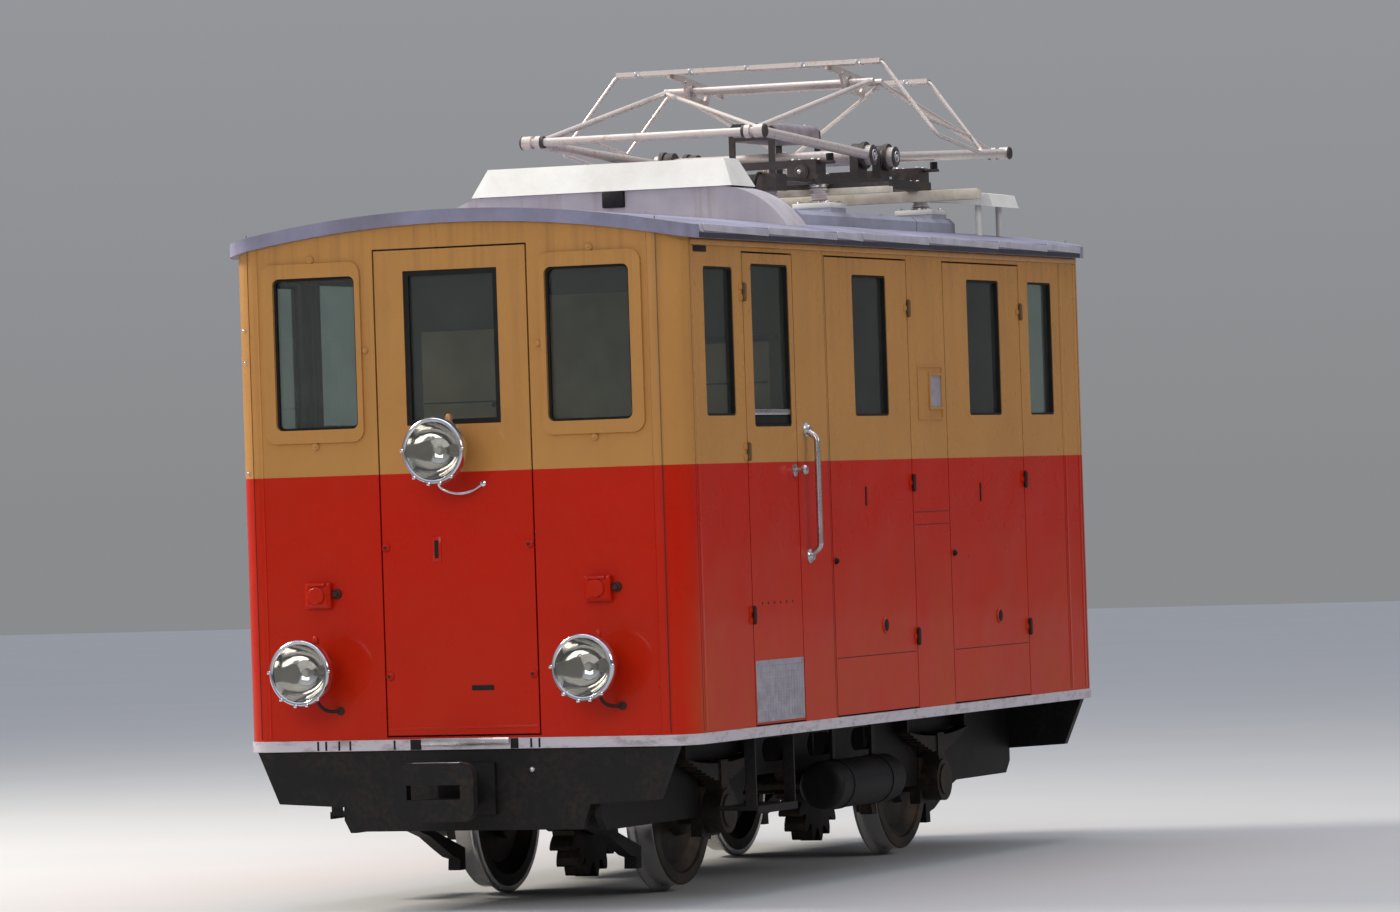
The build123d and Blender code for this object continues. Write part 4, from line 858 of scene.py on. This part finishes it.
def handrail_feet():
    """Flanges of the handrails, with four screws each."""
    y, screw_circle = deep(1.440), 0.024
    feet = Piece("handrail_feet", BRIGHT, SIDES)
    for z in heights(0.800, 1.380):
        feet.lathe([(0, 0), (0.033, 0), (0.033, 0.006), (0.024, 0.011), (0.018, 0.024), (0, 0.026)],
                   (HALF_W, y, z), RIGHT, 24)
        for degrees in (45, 135, 225, 315):
            t = math.radians(degrees)
            at = (HALF_W + 0.006, y + screw_circle * math.cos(t), z + screw_circle * math.sin(t))
            feet.bolt(at, RIGHT, 0.004, 0.004)


def roof_edges():
    """Lapped drip strips along the roof, each higher at its front end and lightened as a painted highlight,
    and below them a dark strip of painted shadow.
    """
    joints = (0.17, 0.217, 0.972, 1.802, 2.131, 2.982, 3.934, 4.627, 5.11)
    lap_rise, gap, back = 0.010, 0.003, 1.1385
    # The drip strips' light coat is partly painted highlight
    drip = Piece("drip_edges", DRIP_AND_HIGHLIGHT, SIDES)
    # The dark strip below the drip strips is painted shadow
    shadow_strip = Piece("drip_shadow_strips", SHADE, SIDES)
    for near, far in zip(joints, joints[1:]):
        y0, y1 = depths(near + gap, far - gap)
        count = len(drip.mesh.verts)
        drip.box((back, back + 0.007), (y0, y1), heights(2.2580, 2.2900), 0.002)
        shadow_strip.box((back, back + 0.004), (y0, y1), heights(2.2320, 2.2550), 0.0015)
        drip.mesh.verts.ensure_lookup_table()
        for v in drip.mesh.verts[count:]:
            v.co.z += lap_rise * (0.5 - (v.co.y - deep(near)) / (far - near))


def roof_fittings():
    """Box in the front hood; plates, bolts and bands of the insulators; lid joints of the roof boxes."""
    vent = Piece("hood_base_box", BLACK)
    vent.box((0.005, 0.115), depths(1.698, 1.724), heights(2.450, 2.527), 0.005)
    plates = Piece("insulator_plates", WHITE)
    bolts = Piece("insulator_plate_bolts", BRIGHT)
    bands = [(0.036, -0.006), (0.0475, -0.006), (0.0475, 0.006), (0.036, 0.006), (0.036, -0.006)]
    for x in about(0, INSULATOR_X):
        for y in about(PANTO_Y, INSULATOR_REACH):
            plates.box(about(x, 0.101), about(y, 0.103), heights(2.462, 2.487), 0.004)
            for dx in (-0.075, 0.075):
                for dy in (-0.078, 0.078):
                    bolts.bolt((x + dx, y + dy, above(2.4865)), UP, 0.011, 0.012)
            for h in (2.492, 2.573):
                bolts.lathe(bands, (x, y, above(h)), UP, 28)
    lids = Piece("roof_box_lids", ROOF_BOX, SIDES)
    pitch, plate_room = 0.36, 0.13
    for near, far in ((-1.222, 0.303), (0.313, 0.840)):
        count = max(2, round((far - near) / pitch))
        step = (far - near) / count
        for k in range(count + 1):
            reach = near + min(max(k * step, 0.02), far - near - 0.02)
            if abs(abs(reach) - INSULATOR_REACH) < plate_room:
                continue
            y = PANTO_Y + reach
            lids.box((0.403, 0.597), about(y, 0.013), heights(2.4395, 2.4435), 0.0015)
            for x in (0.418, 0.582):
                lids.bolt((x, y, above(2.4433)), UP, 0.006, 0.005)


def pantograph_carriers():
    """Cover of the spring housing, light boards on the cross beams whose colour is partly painted highlight,
    and the rests of the folded arms.
    """
    cover = Piece("spring_housing_cover", LILAC)
    cover.box(about(0, 0.122), about(PANTO_Y, 0.312), heights(2.828, 2.918), 0.030, 4)
    # Light boards: light paint, and lighter still as a painted highlight on the beams
    boards = Piece("beam_boards", CHALK_AND_HIGHLIGHT)
    for y, head in zip(about(PANTO_Y, BEAM_REACH), heights(2.560, 2.5815)):
        boards.box(about(0, 0.8455), about(y, 0.029), (above(2.528), head), 0.003)
    rests = Piece("arm_rests", DARK_CAST)
    pads = Piece("arm_rest_pads", RUBBER)
    washer = [(0, -0.0005), (0.031, -0.0005), (0.031, 0.004), (0.022, 0.007), (0, 0.007)]
    for x in (-1, 1):
        for side in (-1, 1):
            y = PANTO_Y + side * 0.700
            rests.box(about(x * 0.5485, 0.0435), about(y, 0.022), heights(2.678, 2.694), 0.003)
            pads.rod((x * 0.571, y, above(2.693)), (x * 0.571, y, above(2.729)), 0.019, 20)
            washer_at = (x * END_BOLT_X, PANTO_Y + side * END_BOLT_REACH, END_BOLT_Z)
            rests.lathe(washer, washer_at, (0, side, 0), 24)


def arm_pivots(name, side):
    """Covers and nuts on a lower frame's shaft, and caps on its knuckles; they turn with the frame."""
    rides = (("", SAME, "lower_arms_" + name),)
    disc = [(0.033, -0.0012), (0.066, -0.0012), (0.0674, 0.002), (0.0674, 0.018), (0.066, 0.0212),
            (0.033, 0.0212), (0.033, -0.0012)]
    collar = [(0.0205, 0), (0.030, 0), (0.030, 0.014), (0.0205, 0.014), (0.0205, 0)]
    covers = Piece("shaft_covers_" + name, DARK_CAST, rides)
    nuts = Piece("shaft_nuts_" + name, BRIGHT, rides)
    caps = Piece("knuckle_caps_" + name, DARK_CAST, rides)
    shaft_y, knuckle_y = PANTO_Y + side * SHAFT_REACH, PANTO_Y + side * KNUCKLE_REACH
    for x in (-1, 1):
        out = (x, 0, 0)
        covers.lathe(disc, (x * 0.528, shaft_y, SHAFT_Z), out, 40)
        covers.boss((x * 0.5795, shaft_y, SHAFT_Z), out, (0.0512, 0.004), (0.046, 0.0075), 0.0078, 36)
        nuts.ring((x * 0.5875, shaft_y, SHAFT_Z), out, 0.025, 0.0042)
        nuts.bolt((x * 0.587, shaft_y, SHAFT_Z), out, 0.013, 0.008)
        caps.boss((x * 0.6235, knuckle_y, KNUCKLE_Z), out, (0.0335, 0.004), (0.028, 0.010), 0.012, 28)
        caps.lathe(collar, (x * 0.513, knuckle_y, KNUCKLE_Z), out, 28)


def base_bolts():
    """Bolts of the pantograph's base, its beams, shaft bearings and spring housing."""
    bolts = Piece("base_bolts", BRIGHT)
    hexagon = [(0, 0.006), (0.012, 0.006), (0.012, 0.014), (0.008, 0.017), (0, 0.018)]
    for x in about(0, END_BOLT_X):
        for side in (-1, 1):
            bolts.lathe(hexagon, (x, PANTO_Y + side * END_BOLT_REACH, END_BOLT_Z), (0, side, 0), 6)
            for dx in (-0.052, 0.052):
                for reach in (0.736, 0.654):
                    bolts.bolt((x + dx, PANTO_Y + side * reach, above(2.6995)), UP, 0.0085, 0.009)
    for x in about(0, INSULATOR_X):
        for y in about(PANTO_Y, BEAM_REACH):
            for dx in (-0.018, 0.018):
                bolts.bolt((x + dx, y, above(2.6295)), UP, 0.009, 0.009)
        for y in about(PANTO_Y, SHAFT_REACH):
            for dy in (-0.044, 0.044):
                bolts.bolt((x, y + dy, above(2.7)), RIGHT, 0.007, 0.024)
    for y in about(PANTO_Y, 0.250):
        for x in (-0.060, 0.060):
            bolts.bolt((x, y, above(2.9175)), UP, 0.010, 0.009)


def roof_leads():
    """Cable shoes on the terminal boxes, and the leads bent down through the roof."""
    y, z = PANTO_Y - 1.330, above(2.6135)
    shoes = Piece("terminal_shoes", COPPER)
    leads = Piece("roof_leads", RUBBER)
    sleeve = [(0, 0), (0.030, 0), (0.030, 0.010), (0.018, 0.020), (0.013, 0.045), (0, 0.045)]
    for x in about(0, INSULATOR_X):
        shoes.box(about(x, 0.016), (y - 0.050, y + 0.002), heights(2.6095, 2.6155), 0.0015)
        shoes.bolt((x, y - 0.030, above(2.615)), UP, 0.011, 0.014)
        shoes.rod((x, y - 0.045, z), (x, y - 0.082, z), 0.0095, 12)
        leads.tube([(x, y - 0.080, z), (x, y - 0.125, above(2.605)), (x, y - 0.165, above(2.555)),
                    (x, y - 0.178, above(2.480)), (x, y - 0.180, above(2.374))], 0.0085)
        leads.lathe(sleeve, (x, y - 0.180, above(2.379)), UP, 20)


def head_details():
    """Contact strips, clips and nuts of the collector head, in its own tilted frame about its pivots."""
    tilt = Matrix.Rotation(-math.radians(HEAD_TILT), 4, "X")
    rides = (("", Matrix.Translation((0, HEAD_Y, HEAD_Z)) @ tilt, "collector_head"),)
    strips = Piece("contact_strips", CARBON, rides)
    trim = Piece("pan_clips", BRIGHT, rides)
    for y in (-0.261, 0.381):
        for dy in (-0.0110, 0.0110):
            strips.box(about(0, 0.560), about(y + dy, 0.0075), (0.0590, 0.0627), 0.0012)
        for x in (-0.590, -0.300, 0.0, 0.300, 0.590):
            trim.box(about(x, 0.012), about(y, 0.0275), (0.037, 0.06205), 0.002)
        for side in (-1, 1):
            trim.rod((side * 0.655, y, 0.051), (side * 0.7045, y, 0.051), 0.0128, 16)
    collar = [(0.0172, 0), (0.030, 0), (0.030, 0.008), (0.0172, 0.010), (0.0172, 0)]
    for x in (-0.420, 0.420):
        for side in (-1, 1):
            face = x + side * 0.0072
            for y, z in ((-0.085, 0.034), (0.225, 0.042), (0.315, 0.042)):
                trim.bolt((face, y, z), (side, 0, 0), 0.007, 0.006)
            trim.lathe(collar, (face, 0, 0), (side, 0, 0), 28)


# Camera at the photograph's station point, turned to the object, with a longer lens; photo sizes in pixels

PHOTO_WIDTH = 1400.0
PHOTO_FOCAL_LENGTH = 3396.0
CLOSER = 2.02
SENSOR = 36.0


def camera():
    eye = Vector((12.9285, -27.6584 - HALF_L, 1.1201 + SILL))
    across = Vector((0.944396, 0.327175, -0.03275))
    aim = Vector((0.02, 0.10, 2.00))
    ahead = (aim - eye).normalized()
    right = (across - across.dot(ahead) * ahead).normalized()
    data = bpy.data.cameras.new("camera")
    data.sensor_width = SENSOR
    data.lens = PHOTO_FOCAL_LENGTH * CLOSER / PHOTO_WIDTH * SENSOR
    data.clip_end = 200.0
    cam = add("camera", data)
    turned = Matrix((right, right.cross(ahead), -ahead)).transposed()
    cam.matrix_world = Matrix.Translation(eye) @ turned.to_4x4()
    bpy.context.scene.camera = cam


def area(name, at, target, size, power, color=(1, 1, 1)):
    """Soft lamp turned to its target."""
    data = bpy.data.lights.new(name, "AREA")
    data.shape = "RECTANGLE"
    data.size, data.size_y = size
    data.energy = power
    data.color = color
    lamp = add(name, data)
    lamp.location = at
    lamp.rotation_mode = "QUATERNION"
    lamp.rotation_quaternion = (Vector(target) - Vector(at)).to_track_quat("-Z", "Y")


def floor_sheet():
    """Plain pale floor."""
    half = 60
    corners = [(-half, -half, 0), (half, -half, 0), (half, half, 0), (-half, half, 0)]
    ground = bpy.data.meshes.new("floor_sheet")
    ground.from_pydata(corners, [], [(0, 1, 2, 3)])
    p = Paint("floor_pale")
    p.color(p.mix(p.noise(0.6, 2), (0.46, 0.455, 0.45), (0.50, 0.495, 0.49)))
    p.rough(0.9)
    ground.materials.append(p.material)
    add("floor_sheet", ground)


def sky():
    """Grey at the horizon, pale blue above, darker low on the right, as in the photograph."""
    world = bpy.data.worlds.new("studio")
    bpy.context.scene.world = world
    world.use_nodes = True
    n = Nodes(world.node_tree, "Generated")
    glow = n.mix(n.band(n.z, 0.0, 0.75), (0.30, 0.305, 0.315), (0.80, 0.86, 1.0))
    shade = n.times(n.times(n.band(n.x, -0.05, 0.35), 0.85), n.band(n.z, 0.55, 0.15))
    background = world.node_tree.nodes["Background"]
    n.put(background.inputs["Color"], n.mix(shade, glow, (0.07, 0.066, 0.064)))
    background.inputs["Strength"].default_value = 0.85


dress_solids()
build_lamps("door_lamp", (0.0,), above(1.330), on_ends("end_door"), LAMP_CREAM, DOOR_LAMP_LEAD,
            ("door_lamp_front", "door_lamp_rear"), ("door_lamp_lens_front", "door_lamp_lens_rear"))
build_lamps("head_lamp", (-0.690, 0.690), above(0.360), ENDS, LIVERY, HEAD_LAMP_LEAD,
            ("head_lamps",), ("head_lamp_lenses",))
end_windows()
end_panels()
end_door_fittings()
cable_sockets()
end_sill()
cab_fittings()
side_openings()
side_panels()
kick_plate()
cab_door_fittings()
engine_door_fittings("engine_door_a", 2.165, 2.360, 0.320, 1.762, 0.770)
engine_door_fittings("engine_door_b", 3.680, 3.890, 0.310, 3.294, 0.776)
side_hinges()
handrail_feet()
roof_edges()
roof_fittings()
pantograph_carriers()
arm_pivots("front", -1)
arm_pivots("rear", 1)
base_bolts()
roof_leads()
head_details()
for piece in Piece.drawn:
    piece.place()

camera()
floor_sheet()
sky()
area("key", (-12, -1.5, 11), (0, 0, 1.6), (4, 4), 2700, (1.0, 0.94, 0.82))
area("front_fill", (1.0, -15, 6), (0, 0, 1.6), (8, 4), 420, (1.0, 0.98, 0.95))
area("side_fill", (14, -1, 6.5), (0, 0.5, 1.5), (8, 3), 350, (1.0, 0.93, 0.86))
area("top", (0, 1, 11), (0, 0.5, 2), (8, 8), 420)
bpy.context.scene.view_settings.view_transform = "Standard"
